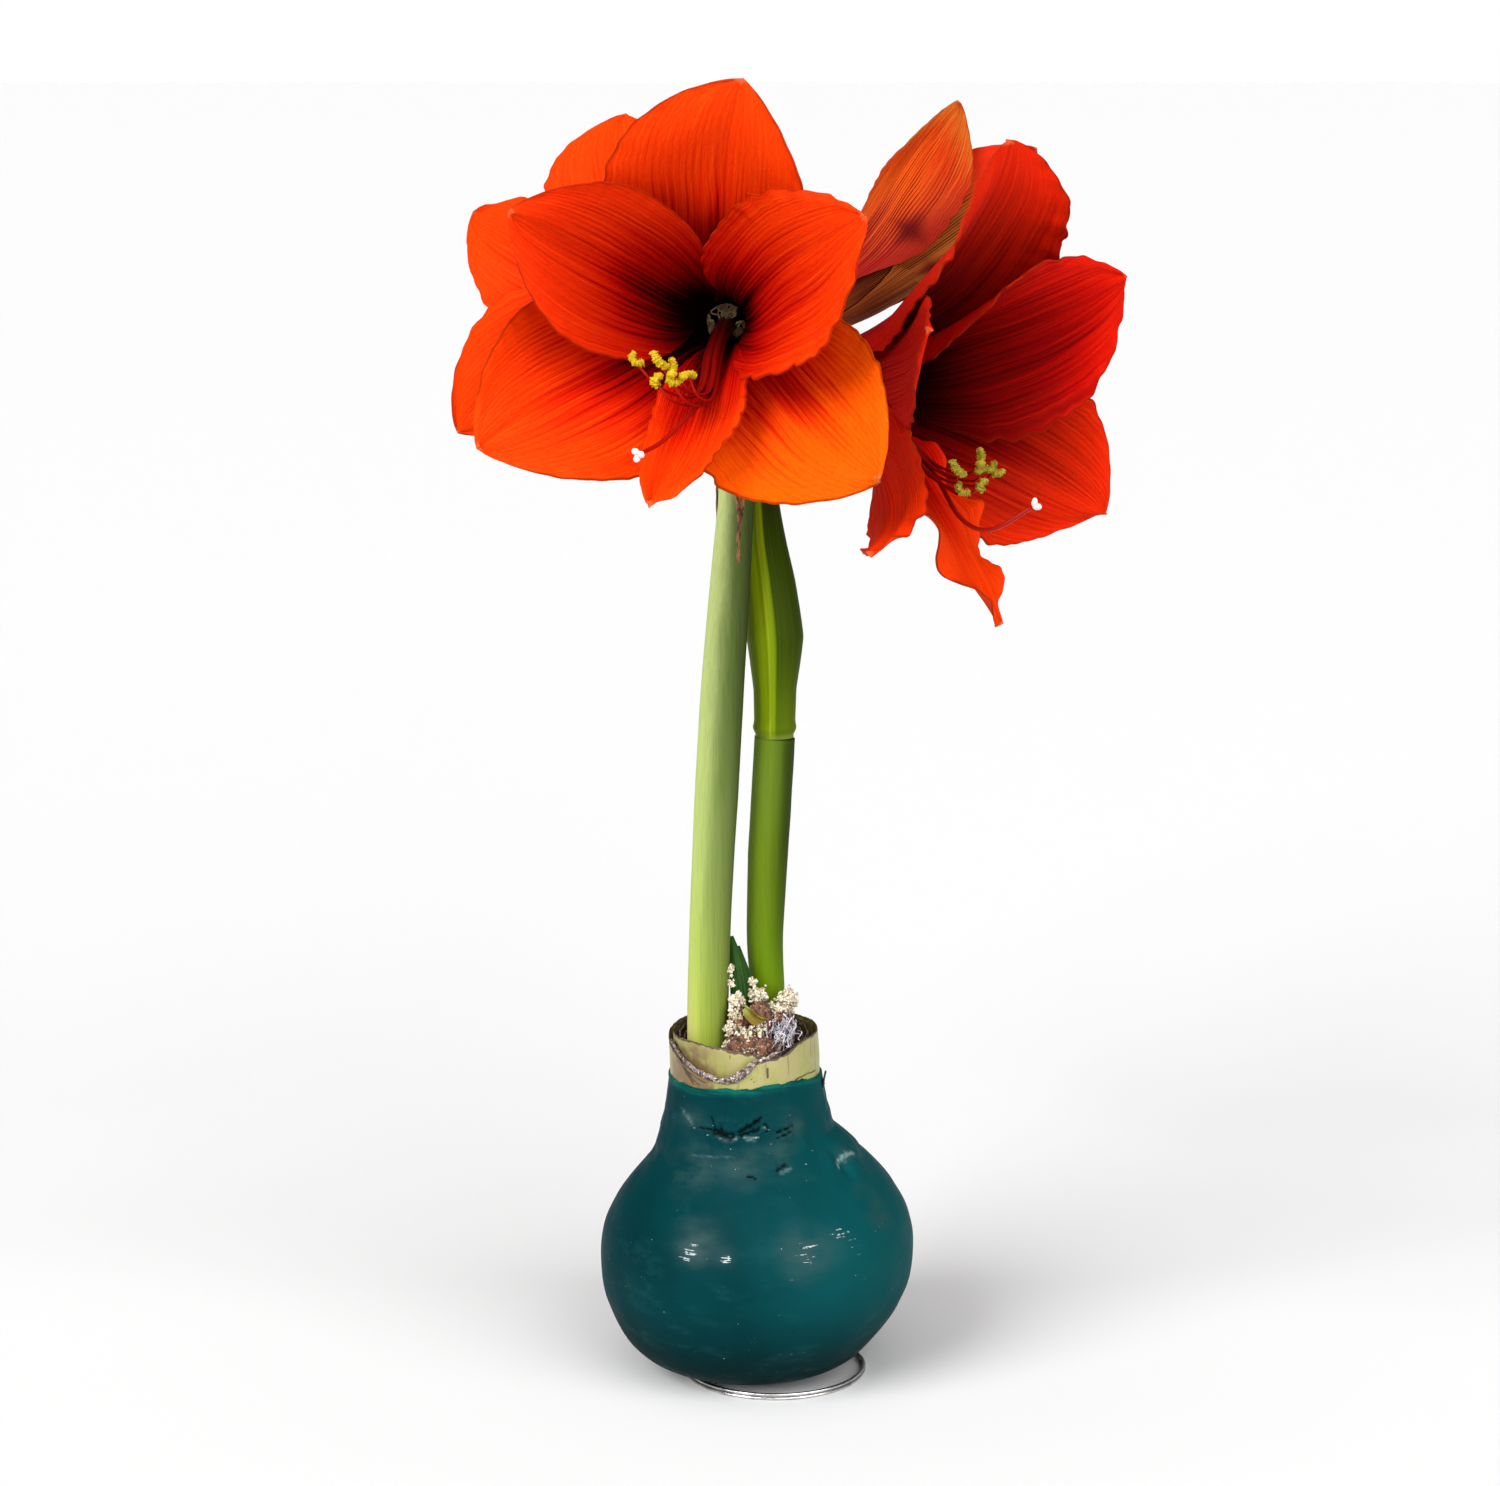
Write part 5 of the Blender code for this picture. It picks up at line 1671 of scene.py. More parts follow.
    def build_torn_edge(self) -> None:
        """The silvery dried skin rolled along the swoop of the outer scale, then up into the neck."""
        route = (
            (-0.0303, -0.0006, 0.1104), (-0.0281, -0.0076, 0.1086), (-0.0258, -0.0118, 0.1067),
            (-0.023, -0.0149, 0.105), (-0.0202, -0.0171, 0.1038), (-0.0168, -0.0191, 0.1028),
            (-0.0134, -0.0204, 0.1022), (-0.0097, -0.0211, 0.1034), (-0.0067, -0.0211, 0.105),
            (-0.0037, -0.0209, 0.108), (-0.0006, -0.0203, 0.1094), (0.003, -0.0188, 0.1108),
            (0.0044, -0.0166, 0.1124), (0.0053, -0.014, 0.1144), (0.0062, -0.0108, 0.117),
            (0.0074, -0.008, 0.1196),
        )
        line = []
        for i in range(241):
            t = i / 240
            shake = Vector([wobble(t * 30, 3.0 * axis, 2.0) for axis in range(3)]) * 0.0003
            line.append(spline(route, t) + shake)

        def reach(angle: float, t: float) -> float:
            """The roll's radius, thickest at the front."""
            thick = 0.00062 + 0.001 * bell(t - 0.5, 0.09) + 0.0003 * bell(t - 0.3, 0.12)
            knots = 1.0 + 0.7 * wobble(t * 80, cos(angle) * 1.7, sin(angle) * 1.7)
            return thick * knots * rounded(t, 0.02)

        piece = tube("torn_edge", Path(line, Vector((0, 0, 1))), 16, reach, flat=0.62)
        settle(piece, Slot.BULB, [SILVER_SKIN], sharp=35)


@dataclass
class DryTuft:
    """Crumbled scale tips in the mouth of the neck, between the scapes.

    lumps are (centre, half sizes); heaps are (centre, spread, count, size) of the crumbs on them.
    """

    seed: int = 12
    lumps: tuple[tuple[Point, Point], ...] = (
        ((-0.005, -0.0112, 0.11), (0.0086, 0.0048, 0.0058)),
        ((-0.0088, -0.008, 0.116), (0.003, 0.0028, 0.007)),
        ((-0.0016, -0.0066, 0.1172), (0.004, 0.0036, 0.0072)),
        ((0.0052, -0.005, 0.114), (0.004, 0.0042, 0.0078)),
        ((0.008, -0.004, 0.106), (0.0038, 0.004, 0.004)),
    )
    heaps: tuple[tuple[Point, float, int, float], ...] = (
        ((-0.0091, -0.0062, 0.1248), 0.0021, 80, 0.0006), ((-0.0098, -0.009, 0.1209), 0.0021, 70, 0.00055),
        ((-0.0108, -0.0096, 0.1175), 0.0019, 50, 0.0005), ((-0.0111, -0.005, 0.1345), 0.001, 18, 0.0006),
        ((-0.0108, -0.005, 0.13), 0.0011, 18, 0.00045), ((-0.0046, -0.0004, 0.129), 0.0015, 46, 0.0005),
        ((-0.0027, -0.003, 0.1254), 0.0024, 110, 0.0006), ((0.007, -0.0005, 0.1236), 0.0028, 150, 0.00062),
        ((0.0045, -0.0035, 0.1206), 0.0028, 130, 0.0006), ((0.0032, -0.005, 0.1186), 0.002, 50, 0.0005),
        ((-0.0018, -0.0108, 0.1166), 0.0022, 60, 0.00045), ((-0.0112, -0.011, 0.1158), 0.0018, 44, 0.00042),
        ((-0.006, -0.013, 0.116), 0.0024, 54, 0.0004), ((-0.0122, -0.012, 0.112), 0.0014, 26, 0.0004),
        ((-0.005, -0.015, 0.111), 0.0034, 40, 0.00028),
    )
    fibres: int = 90

    def lump(self, index: int, centre: Sequence[float], half: Sequence[float]) -> Object:
        """One fibrous clump.

        Args:
            index: Its number, which sets its own unevenness.
            centre: Its middle.
            half: Its half sizes.

        Returns:
            The mesh object.
        """
        piece = ball("tuft_clumps", 5)
        for vertex in piece.data.vertices:
            c = vertex.co.copy()
            fibre = wobble(c.x * 11 + index, c.y * 11, c.z * 2.5) * 0.13
            swell = 1.0 + fibre + 0.16 * wobble(c.x * 2.2, c.y * 2.2 + index, c.z * 2.2)
            vertex.co = [m + h * x * swell for m, h, x in zip(centre, half, c)]
        return piece

    def crumb(self, draw: random.Random, centre: Vector, spread: float, size: float) -> Object:
        """One knobbly crumb.

        Args:
            draw: The heap's draws.
            centre: The heap's middle.
            spread: How far crumbs lie from it.
            size: Their middling radius.

        Returns:
            The mesh object.
        """
        piece = ball("tuft_crumbs", 2)
        size *= draw.uniform(0.55, 1.25)
        where = centre + Vector([draw.gauss(0.0, spread * 0.5) for _ in range(3)])
        shape = Vector([draw.uniform(0.75, 1.3) for _ in range(3)])
        seed = draw.uniform(0, 90)
        for vertex in piece.data.vertices:
            c = vertex.co
            swell = 1.0 + 0.75 * wobble(c.x * 1.7 + seed, c.y * 1.7, c.z * 1.7)
            swell += 0.3 * wobble(c.x * 5, c.y * 5, seed)
            vertex.co = where + Vector([a * b * size * swell for a, b in zip(c, shape)])
        return piece

    def fibre(self, draw: random.Random) -> Object:
        """One silvery thread that hangs from the right heap to the edge of the neck.

        Args:
            draw: The threads' draws.

        Returns:
            The mesh object.
        """

        def scattered(*places: tuple[float, float]) -> Vector:
            """A drawn point, from a middle and a spread for each axis."""
            return Vector([middle + draw.gauss(0, spread) for middle, spread in places])

        start = scattered((0.0064, 0.0019), (-0.009, 0.0018), (0.1178, 0.0022))
        end = start + scattered((-0.0014, 0.0018), (-0.0022, 0.0012), (-0.004, 0.0016))
        bends = [start.lerp(end, t) + scattered(*[(0.0, 0.0009)] * 3) for t in (0.3, 0.7)]
        line = Path.through((start, *bends, end), 18)
        radius = draw.uniform(0.0001, 0.00022)
        return tube("silver_fibres", line, 6, taper(radius, radius, 0.1))

    def build(self) -> None:
        """Builds the clumps, the crumbs and threads on them, and one fresh scale tip."""
        clumps = [self.lump(i, centre, half) for i, (centre, half) in enumerate(self.lumps)]
        settle(join(clumps), Slot.CRUMBS, [BROWN_CLUMP], ["dry_tuft"])
        draw = random.Random(self.seed)
        crumbs = []
        for centre, spread, count, size in self.heaps:
            crumbs += [self.crumb(draw, Vector(centre), spread, size) for _ in range(count)]
        settle(join(crumbs), Slot.CRUMBS, [CREAM_CRUMB])
        settle(join([self.fibre(draw) for _ in range(self.fibres)]), Slot.CRUMBS, [SILVER_FIBRE])
        tip = Blade(
            "scale_tip",
            line=(
                (-0.007, -0.0112, 0.1236), (-0.0052, -0.0132, 0.1218), (-0.0028, -0.0136, 0.12),
                (0.0002, -0.0122, 0.12),
            ),
            widths=(0.001, 0.002, 0.0019, 0.0004), span=(0.4, -0.2, 0.9), cup=0.7,
        )
        settle(tip.mesh(), Slot.LEAF, [SCALE_BIT])


# Stems, bud, bracts and leaves


@dataclass(frozen=True)
class Blade:
    """A thin cupped blade along a curve."""

    name: str
    line: Line
    widths: tuple[float, ...]
    span: Point
    cup: float = 0.3
    twist: float = 0.0
    thickness: float = 0.0005
    crumple: float = 0.0
    rows: int = 60
    columns: int = 16

    def mesh(self) -> Object:
        """Builds the blade.

        Returns:
            The mesh object.
        """
        path = Path.through(self.line, self.rows, Vector(self.span))

        def place(u: float, v: float) -> Vector:
            """A point of the blade, across (u) and along (v)."""
            centre, side, other, _ = path.at(v)
            side, other = turned(side, -other, radians(self.twist) * v)
            half = along_list(self.widths, v)
            x = 2 * u - 1
            wrinkle = self.crumple * wobble(x * 2.2, v * 9.0, 4.0)
            return centre + side * (half * x) + other * (self.cup * half * (1 - x * x) + wrinkle)

        piece = sheet(self.name, self.columns, self.rows, place)
        thicken(piece, self.thickness)
        return piece


@dataclass
class Scapes:
    """The two flowering stems."""

    tall: Line = (
        (-0.0184, -0.0032, 0.1038), (-0.0183, -0.0032, 0.128), (-0.0173, -0.003, 0.157),
        (-0.0157, -0.0022, 0.189), (-0.014, -0.0008, 0.219), (-0.0117, 0.0013, 0.251),
        (-0.0094, 0.0044, 0.281), (-0.008, 0.006, 0.294),
    )
    tall_radii: tuple[float, ...] = (0.0066, 0.0065, 0.0065, 0.0068, 0.0068, 0.0064, 0.0056, 0.0068)
    short: Line = (
        (0.002, 0.0105, 0.1038), (0.0006, 0.0105, 0.125), (-0.0002, 0.0105, 0.142), (0.0007, 0.0105, 0.168),
        (0.0018, 0.0105, 0.187), (0.0028, 0.0105, 0.2065),
    )
    short_radii: tuple[float, ...] = (0.0044, 0.0054, 0.0058, 0.0064, 0.0064, 0.0064)

    def stem(self, name: str, line: Line, radii: Sequence[float], flat: float, seed: float) -> Object:
        """One stem, faintly ribbed and a little uneven.

        Args:
            name: The piece's name.
            line: Points of its middle.
            radii: Its radius, evenly spread from foot to top.
            flat: How far it is pressed in from front to back.
            seed: Sets its own unevenness.

        Returns:
            The mesh object.
        """
        path = Path.through(line, 120, Vector((1, 0, 0)))

        def reach(angle: float, t: float) -> float:
            """The stem's radius with its ribs."""
            rib = 0.006 * cos(11 * angle) + 0.012 * cos(2 * angle + 0.8)
            uneven = 0.015 * wobble(cos(angle) * 1.3, sin(angle) * 1.3 + seed, t * 9)
            return along_list(radii, t) * (1.0 + rib + uneven)

        return tube(name, path, 44, reach, flat=flat, level=True)

    def build(self) -> None:
        """Builds and dresses both stems."""
        tall = self.stem("tall_stem", self.tall, self.tall_radii, 0.92, 0.0)
        settle(tall, Slot.TALL_SCAPE, [TALL_STEM], ["scape_tall"])
        short = self.stem("short_stem", self.short, self.short_radii, 0.95, 5.0)
        settle(short, Slot.SHORT_SCAPE, [SHORT_STEM], ["scape_short"])


@dataclass
class SpatheBud:
    """The closed bud: two pointed valves, one lapped over the other in a keel down the front."""

    line: Line = (
        (0.0028, 0.0105, 0.2066), (0.0029, 0.0106, 0.222), (0.0028, 0.011, 0.239), (0.001, 0.0122, 0.256),
        (-0.0009, 0.014, 0.27), (-0.0018, 0.016, 0.283), (-0.002, 0.0175, 0.296), (-0.0018, 0.0182, 0.304),
    )
    radii: tuple[float, ...] = (0.0061, 0.0065, 0.0087, 0.008, 0.0068, 0.0054, 0.003, 0.0006)
    keel: float = 262.0

    def build(self) -> None:
        """Builds and dresses the bud."""
        rows, around = 130, 96
        points = [spline(self.line, i / rows) for i in range(rows + 1)]

        def place(u: float, v: float) -> Vector:
            """A point of the bud; the first and last rows are its end points."""
            row = v * (rows + 2) - 1.0
            t = min(max(row / rows, 0.0), 1.0)
            angle = tau * u
            turn = off(angle, self.keel)
            keel = 0.13 * bell(turn, 9) * smooth(t * 12) + 0.05 * cos(2 * angle)
            lap = 0.05 * bell(turn + 34, 12) * smooth(t * 6)
            fine = 0.008 * wobble(cos(angle) * 6, sin(angle) * 6, t * 3)
            joint = 0.07 * bell(t - 0.03, 0.012) - 0.07 * bell(t - 0.006, 0.01)
            reach = along_list(self.radii, t) * (1.0 + keel + lap + fine + joint)
            if row < -0.5 or row > rows + 0.5:
                reach = 0.0
            centre = points[round(t * rows)]
            return centre + Vector((reach * cos(angle), 0.86 * reach * sin(angle), 0.0))

        piece = sheet("closed_bud", around, rows + 2, place)
        merge(piece, recalculate=True)
        settle(piece, Slot.SPATHE, [SpatheFinish()], ["spathe_bud"])


@dataclass
class SmallBlades:
    """The dried bracts at the top of the tall stem and the young leaves between the stems.

    Each has its slot, its finish and the node that it stands for.
    """

    blades: tuple[tuple[Blade, Slot, object, str], ...] = (
        (
            Blade(
                "dried_bract_front",
                line=(
                    (-0.008, -0.0013, 0.2925), (-0.0081, -0.003, 0.286), (-0.0079, -0.0052, 0.279),
                    (-0.0083, -0.0068, 0.272), (-0.0084, -0.0078, 0.265),
                ),
                widths=(0.002, 0.002, 0.0013, 0.0013, 0.0004), span=(1.0, 0.1, 0.0), cup=0.5, twist=110,
                crumple=0.0005,
            ),
            Slot.DRY_BRACT, DRY_BRACT, "bract_front",
        ),
        (
            Blade(
                "dried_bract_back",
                line=(
                    (-0.0131, 0.0116, 0.2925), (-0.0134, 0.0128, 0.286), (-0.0136, 0.0138, 0.276),
                    (-0.0137, 0.0142, 0.265), (-0.0143, 0.0147, 0.255),
                ),
                widths=(0.0022, 0.003, 0.0028, 0.002, 0.0004), span=(-0.8, -0.6, 0.0), twist=20,
                crumple=0.0005,
            ),
            Slot.DRY_BRACT, DRY_BRACT, "bract_back",
        ),
        (
            Blade(
                "young_leaf_front",
                line=(
                    (-0.0077, -0.0022, 0.104), (-0.008, -0.0018, 0.125), (-0.0092, -0.001, 0.1345),
                    (-0.0109, 0.0, 0.1442),
                ),
                widths=(0.003, 0.0031, 0.0029, 0.0019, 0.0002), span=(1.0, 0.25, 0.0), cup=0.5,
                thickness=0.001,
            ),
            Slot.LEAF, GREEN_LEAF, "leaf_front",
        ),
        (
            Blade(
                "young_leaf_back",
                line=(
                    (-0.0062, 0.0034, 0.104), (-0.0062, 0.0036, 0.122), (-0.0072, 0.0038, 0.131),
                    (-0.0086, 0.004, 0.14),
                ),
                widths=(0.0022, 0.0027, 0.0022, 0.0002), span=(1.0, -0.1, 0.0), cup=0.35, thickness=0.0008,
            ),
            Slot.LEAF, GREEN_LEAF, "leaf_back",
        ),
    )

    def build(self) -> None:
        """Builds and dresses all four."""
        for blade, slot, finish, node in self.blades:
            settle(blade.mesh(), slot, [finish], [node])


# Flowers

THROAT_RADIUS = 0.0066
CUP_LENGTH = 0.017
CUP_FOOT_RADIUS = 0.0044
CUP_FLOOR = 0.0016
OVARY_LENGTH = 0.009
CUP_SHARE = 0.2  # the cup's length in the measure of a tepal's share
GAP = 0.0003  # air between pieces that touch


@dataclass
class Tepal:
    """One tepal of a flower.

    mid and tip are the angles, in degrees from the flower's axis, of the centre line half way and
    at the end. swing turns the tepal round the axis as it leaves the throat, bend carries its outer
    half sideways, twist turns its blade. left and right widen one half of the blade. frill is the
    height of the small waves of its edge. tone picks its colours: its own tone,
    with painted light below 0 and partly painted shade towards 1.
    """

    length: float
    width: float
    mid: float
    tip: float
    swing: float = 0.0
    bend: float = 0.0
    twist: float = 0.0
    left: float = 1.0
    right: float = 1.0
    ruffle: float = 0.0012
    waves: float = 2.5
    cup: float = 6.0
    fullness: float = 0.8
    widest: float = 0.58
    frill: float = 0.0005
    tone: float = 0.0


@dataclass
class Flower:
    """A flower's place, facing, stamens and six tepals, clockwise from the one at the top."""

    name: str
    throat: Point
    facing: float
    lift: float
    spin: float
    tepals: list[Tepal]
    outside: PetalFinish = OUTSIDE
    pollen: PowderFinish = OLIVE_POLLEN
    outer_first: bool = True
    base_outer: float = 20.0
    base_inner: float = 5.0
    wrap: float = 0.55
    stamen_low: Point = (0.0, -0.016, 0.05)
    stamen_end: Point = (0.0, -0.009, 0.073)
    anthers: Line = ()
    style_line: Line = ((0.0, -0.02, 0.062), (0.0, -0.02, 0.088))
    foot: tuple[float, float] = (0.0, 0.0)
    lean: tuple[float, float] = (0.0, 0.0)
    spread: float = 0.009
    columns: int = 36
    rows: int = 120
    strips: int = 72

    def __post_init__(self) -> None:
        """Works out the flower's own right, up and axis directions."""
        facing, lift = radians(self.facing), radians(self.lift)
        flat = cos(lift)
        self.axis = Vector((sin(facing) * flat, -cos(facing) * flat, sin(lift)))
        self.up = (Vector((0, 0, 1)) - self.axis * self.axis.z).normalized()
        self.right = self.up.cross(self.axis)

    def world(self, point: Sequence[float]) -> Vector:
        """A point of the flower's own frame, in the world."""
        return Vector(self.throat) + self.right * point[0] + self.up * point[1] + self.axis * point[2]


class TepalSurface:
    """The middle surface of one tepal and of its sixth of the cup, in the flower's frame."""

    STEPS = 120

    def __init__(self, flower: Flower, index: int) -> None:
        """Walks the tepal's centre line.

        Args:
            flower: The flower that it belongs to.
            index: Its number, clockwise from the top.
        """
        self.flower = flower
        self.tepal = flower.tepals[index]
        self.index = index
        self.seed = 10.0 * index + len(flower.name)
        self.clock = radians(60 * index + flower.spin)
        outer = (index % 2 == 0) == flower.outer_first
        self.start = flower.base_outer if outer else flower.base_inner
        self.centres = [clockwise(self.clock) * THROAT_RADIUS]
        step = self.tepal.length / self.STEPS
        for i in range(self.STEPS):
            self.centres.append(self.centres[-1] + self.ahead((i + 0.5) / self.STEPS) * step)
        self.rows: dict[float, tuple] = {}

    def opening(self, s: float) -> float:
        """The angle between the centre line and the axis at share s."""
        t = self.tepal
        if s < 0.5:
            return radians(mix(self.start, t.mid, smooth(2 * s)))
        return radians(mix(t.mid, t.tip, (2 * s - 1) ** 1.3))

    def turn(self, s: float) -> float:
        """The clock angle at share s."""
        t = self.tepal
        return self.clock + radians(t.swing) * smooth(s / 0.35) + radians(t.bend) * s * s

    def ahead(self, s: float) -> Vector:
        """The centre line's direction at share s."""
        angle, clock = self.opening(s), self.turn(s)
        flat = sin(angle)
        return Vector((sin(clock) * flat, cos(clock) * flat, cos(angle)))

    def half_width(self, s: float) -> float:
        """Half the blade's width.

        Args:
            s: The share of its length.

        Returns:
            The half width before it is widened on one side.
        """
        t = self.tepal
        power = log(0.5) / log(t.widest)
        start = THROAT_RADIUS * pi / 6 * (1.0 + 5.0 * s) * (1 - s) ** 8
        fullness = t.fullness if s > t.widest else 1.1
        return start + t.width * max(sin(pi * min(s, 1.0) ** power), 0.0) ** fullness

    def row(self, s: float) -> tuple:
        """What all points across the blade have in common, worked out once.

        Args:
            s: The share of its length.

        Returns:
            The centre, the sideways and inward directions, the bow of the blade and its half width.
        """
        key = round(s, 5)
        if key not in self.rows:
            t = self.tepal
            clock = self.turn(s)
            side = Vector((cos(clock), -sin(clock), 0.0))
            inward = side.cross(self.ahead(s))
            side, inward = turned(side, inward, radians(t.twist) * smooth(s))
            at = min(max(s, 0.0), 1.0) * self.STEPS
            i = min(int(at), self.STEPS - 1)
            centre = self.centres[i].lerp(self.centres[i + 1], at - i)
            reach = max(hypot(centre.x, centre.y), THROAT_RADIUS)
            wrap = self.flower.wrap
            flare = smooth((s - wrap) / (1.0 - wrap)) if wrap < 1 else 0.0
            bow = mix(1.0 / reach, t.cup, flare)
            self.rows[key] = (centre, side, inward, bow, self.half_width(s))
        return self.rows[key]

    def point(self, s: float, v: float) -> Vector:
        """A point of the surface.

        Args:
            s: The share of its length, below 0 in the cup.
            v: From -1 to 1 across.

        Returns:
            The point in the flower's frame.
        """
        if s <= 0.0:
            t = min(-s / CUP_SHARE, 1.0)
            clock = self.clock + v * pi / 6
            radius = mix(THROAT_RADIUS, CUP_FOOT_RADIUS, t) if s > -0.21 else 0.0
            return Vector((radius * sin(clock), radius * cos(clock), -CUP_LENGTH * t))
        t = self.tepal
        centre, side, inward, bow, half = self.row(s)
        widen = mix(1.0, t.left if v < 0 else t.right, smooth(s / 0.09))
        edge_side = 1.0 if v > 0 else -1.0
        teeth = 100.0 * t.frill * wobble(s * 27, edge_side * 5, self.seed) * smooth((s - 0.3) / 0.3)
        outline = 1.0 + 0.016 * wobble(s * 9, edge_side * 3, self.seed) * smooth((s - 0.2) / 0.2)
        across = v * half * widen * (outline + teeth * abs(v) ** 6)
        if abs(bow) > 1e-3:
            x, y = sin(bow * across) / bow, (1 - cos(bow * across)) / bow
        else:
            x, y = across, 0.0
        free = smooth((s - 0.15) / 0.4)
        edge = abs(v) ** 2.5 * free
        phase = 0.9 if v > 0 else 2.3
        y += t.ruffle * edge * sin(tau * t.waves * s + phase)
        y += t.frill * abs(v) ** 6 * free * 2.0 * wobble(s * 26, edge_side * 4, self.seed)
        y -= 0.0006 * bell(v, 0.07) * smooth(s / 0.3) * smooth((1.0 - s) / 0.1)
        y += 0.0016 * free * wobble(s * 3.4, v * 1.8, self.seed)
        y += 0.0002 * free * wobble(v * 17, s * 3, self.seed + 3)
        return centre + side * x + inward * y


@dataclass
class Bloom:
    """One flower's perianth, stamens, style, corona and pedicel."""

    flower: Flower
    umbel: Point = Scapes().tall[-1]
    cup_rows: int = 14
    thickness: float = 0.0006

    def wedge(self, index: int) -> Object:
        """One tepal with its sixth of the cup.

        Args:
            index: Its number, clockwise from the top.

        Returns:
            A sheet with its maps and marks.
        """
        surface = TepalSurface(self.flower, index)
        total = self.cup_rows + self.flower.rows

        def share(v: float) -> float:
            """The share of the tepal's length for a row; the first row closes the cup."""
            row = round(v * total)
            if row == 0:
                return -1.1 * CUP_SHARE
            if row <= self.cup_rows:
                return -CUP_SHARE * (1.0 - (row - 1) / (self.cup_rows - 1))
            t = (row - self.cup_rows) / self.flower.rows
            return t + 0.06 * sin(pi * t) * (1 - t)

        def place(u: float, v: float) -> Vector:
            """A point of the sheet in the world."""
            return self.flower.world(surface.point(share(v), 2 * u - 1))

        piece = sheet("perianth_" + self.flower.name, self.flower.columns, total, place)
        mesh = piece.data
        blade = mesh.uv_layers["blade"]
        veins = mesh.uv_layers.new(name="veins")
        width = surface.tepal.width
        for spot, fan in zip(blade.data, veins.data):
            u, s = spot.uv[0], share(spot.uv[1])
            relative = surface.half_width(max(s, 0.0)) / width
            fan.uv = (0.5 + (u - 0.5) * max(relative, 0.04) ** 0.5 + 3.0 * index, s)
            spot.uv = (u, s)
        count = len(mesh.vertices)
        mark(piece, "tone", [surface.tepal.tone] * count)
        mark(piece, "tepal", [float(index) * 7.0 + 1.0] * count)
        return piece

    def build_perianth(self) -> None:
        """The six tepals grown out of one cup, as a closed skin of their thickness."""
        piece = join([self.wedge(index) for index in range(6)])
        merge(piece)
        dress(piece, (INSIDE, self.flower.outside))
        thicken(piece, self.thickness, second=True)
        settle(piece, Slot.TEPALS, (INSIDE, self.flower.outside), ["bloom_" + self.flower.name], sharp=80)

    def bundle(self, t: float) -> Vector:
        """The middle of the filaments, from the throat (0) to their low point (1)."""
        low = Vector(self.flower.stamen_low)
        return spline(((0, 0, -0.0035), (0.45 * low.x, 0.26 * low.y, 0.44 * low.z), low), t)

    def anther_place(self, index: int, fan: Vector) -> Vector:
        """Where a filament ends.

        Args:
            index: The stamen's number.
            fan: The direction that it fans out in.

        Returns:
            The point in the flower's frame.
        """
        flower = self.flower
        if flower.anthers:
            return Vector(flower.anthers[index])
        return Vector(flower.stamen_end) + fan * flower.spread + raised(0.003 * cos(2.4 * index))

    @staticmethod
    def filament_reach(angle: float, t: float) -> float:
        """A filament's radius, stout in the tongue and thin where it is free."""
        return mix(0.00112, 0.00036, smooth((t - 0.4) / 0.3)) * rounded(t, 0.012)

    def build_stamens(self) -> None:
        """Six filaments with their anthers."""
        flower = self.flower
        filaments, anthers = [], []
        for index in range(6):
            clock = radians(60 * index + 30 + flower.spin)
            fan = Vector((sin(clock), 0.75 * cos(clock), 0.0))
            root = clockwise(clock) * (THROAT_RADIUS - 0.0034)
            knots = [self.bundle(0.0) + root]
            spreads = ((0.33, 0.0017), (0.66, 0.0018), (1.0, 0.0024))
            knots += [self.bundle(t) + fan * wide for t, wide in spreads]
            end = self.anther_place(index, fan)
            before = knots[-1] * 2 - knots[-2]
            knots.append(knots[-1].lerp(end, 0.5) + (before - knots[-1]) * 0.26)
            knots.append(end)
            line = [flower.world(spline(knots, i / 56)) for i in range(57)]
            filaments.append(tube("filaments_" + flower.name, Path(line), 10, self.filament_reach))
            anthers.append(self.anther(index, line[-1]))
        settle(join(filaments), Slot.STAMENS, [RED_THREAD], ["stamens_" + flower.name])
        settle(join(anthers), Slot.STAMENS, [flower.pollen])

    def anther(self, index: int, end: Vector) -> Object:
        """A curled anther, split along its length.

        Args:
            index: The stamen's number.
            end: The filament's end.

        Returns:
            The mesh object.
        """
        draw = random.Random(len(self.flower.name) * 10 + index)
        lean = Vector((draw.uniform(-1, 1), -0.4, draw.uniform(-1, 1))).normalized()
        out = lean.orthogonal().normalized()
        bend, length = draw.choice((0.7, 1.5, 3.8, 4.8)), draw.uniform(0.005, 0.0074)
        line = []
        radius = length / bend
        for i in range(61):
            angle = bend * (i / 60 - 0.5)
            line.append(end + lean * (radius * sin(angle)) + out * (radius * (1 - cos(angle))))

        def reach(angle: float, t: float) -> float:
            """The anther's radius, slit on one side and covered in grains."""
            slit = 1.0 - 0.35 * bell(sin(angle / 2), 0.28)
            folds = 1.0 + 0.2 * sin(36 * t + 4 * wobble(t * 6, index))
            crumbs = 1.0 + 0.6 * wobble(t * 26, cos(angle) * 2.8, sin(angle) * 2.8 + index)
            return 0.00108 * slit * folds * crumbs * rounded(t, 0.12)

        return tube("anthers_" + self.flower.name, Path(line), 18, reach)

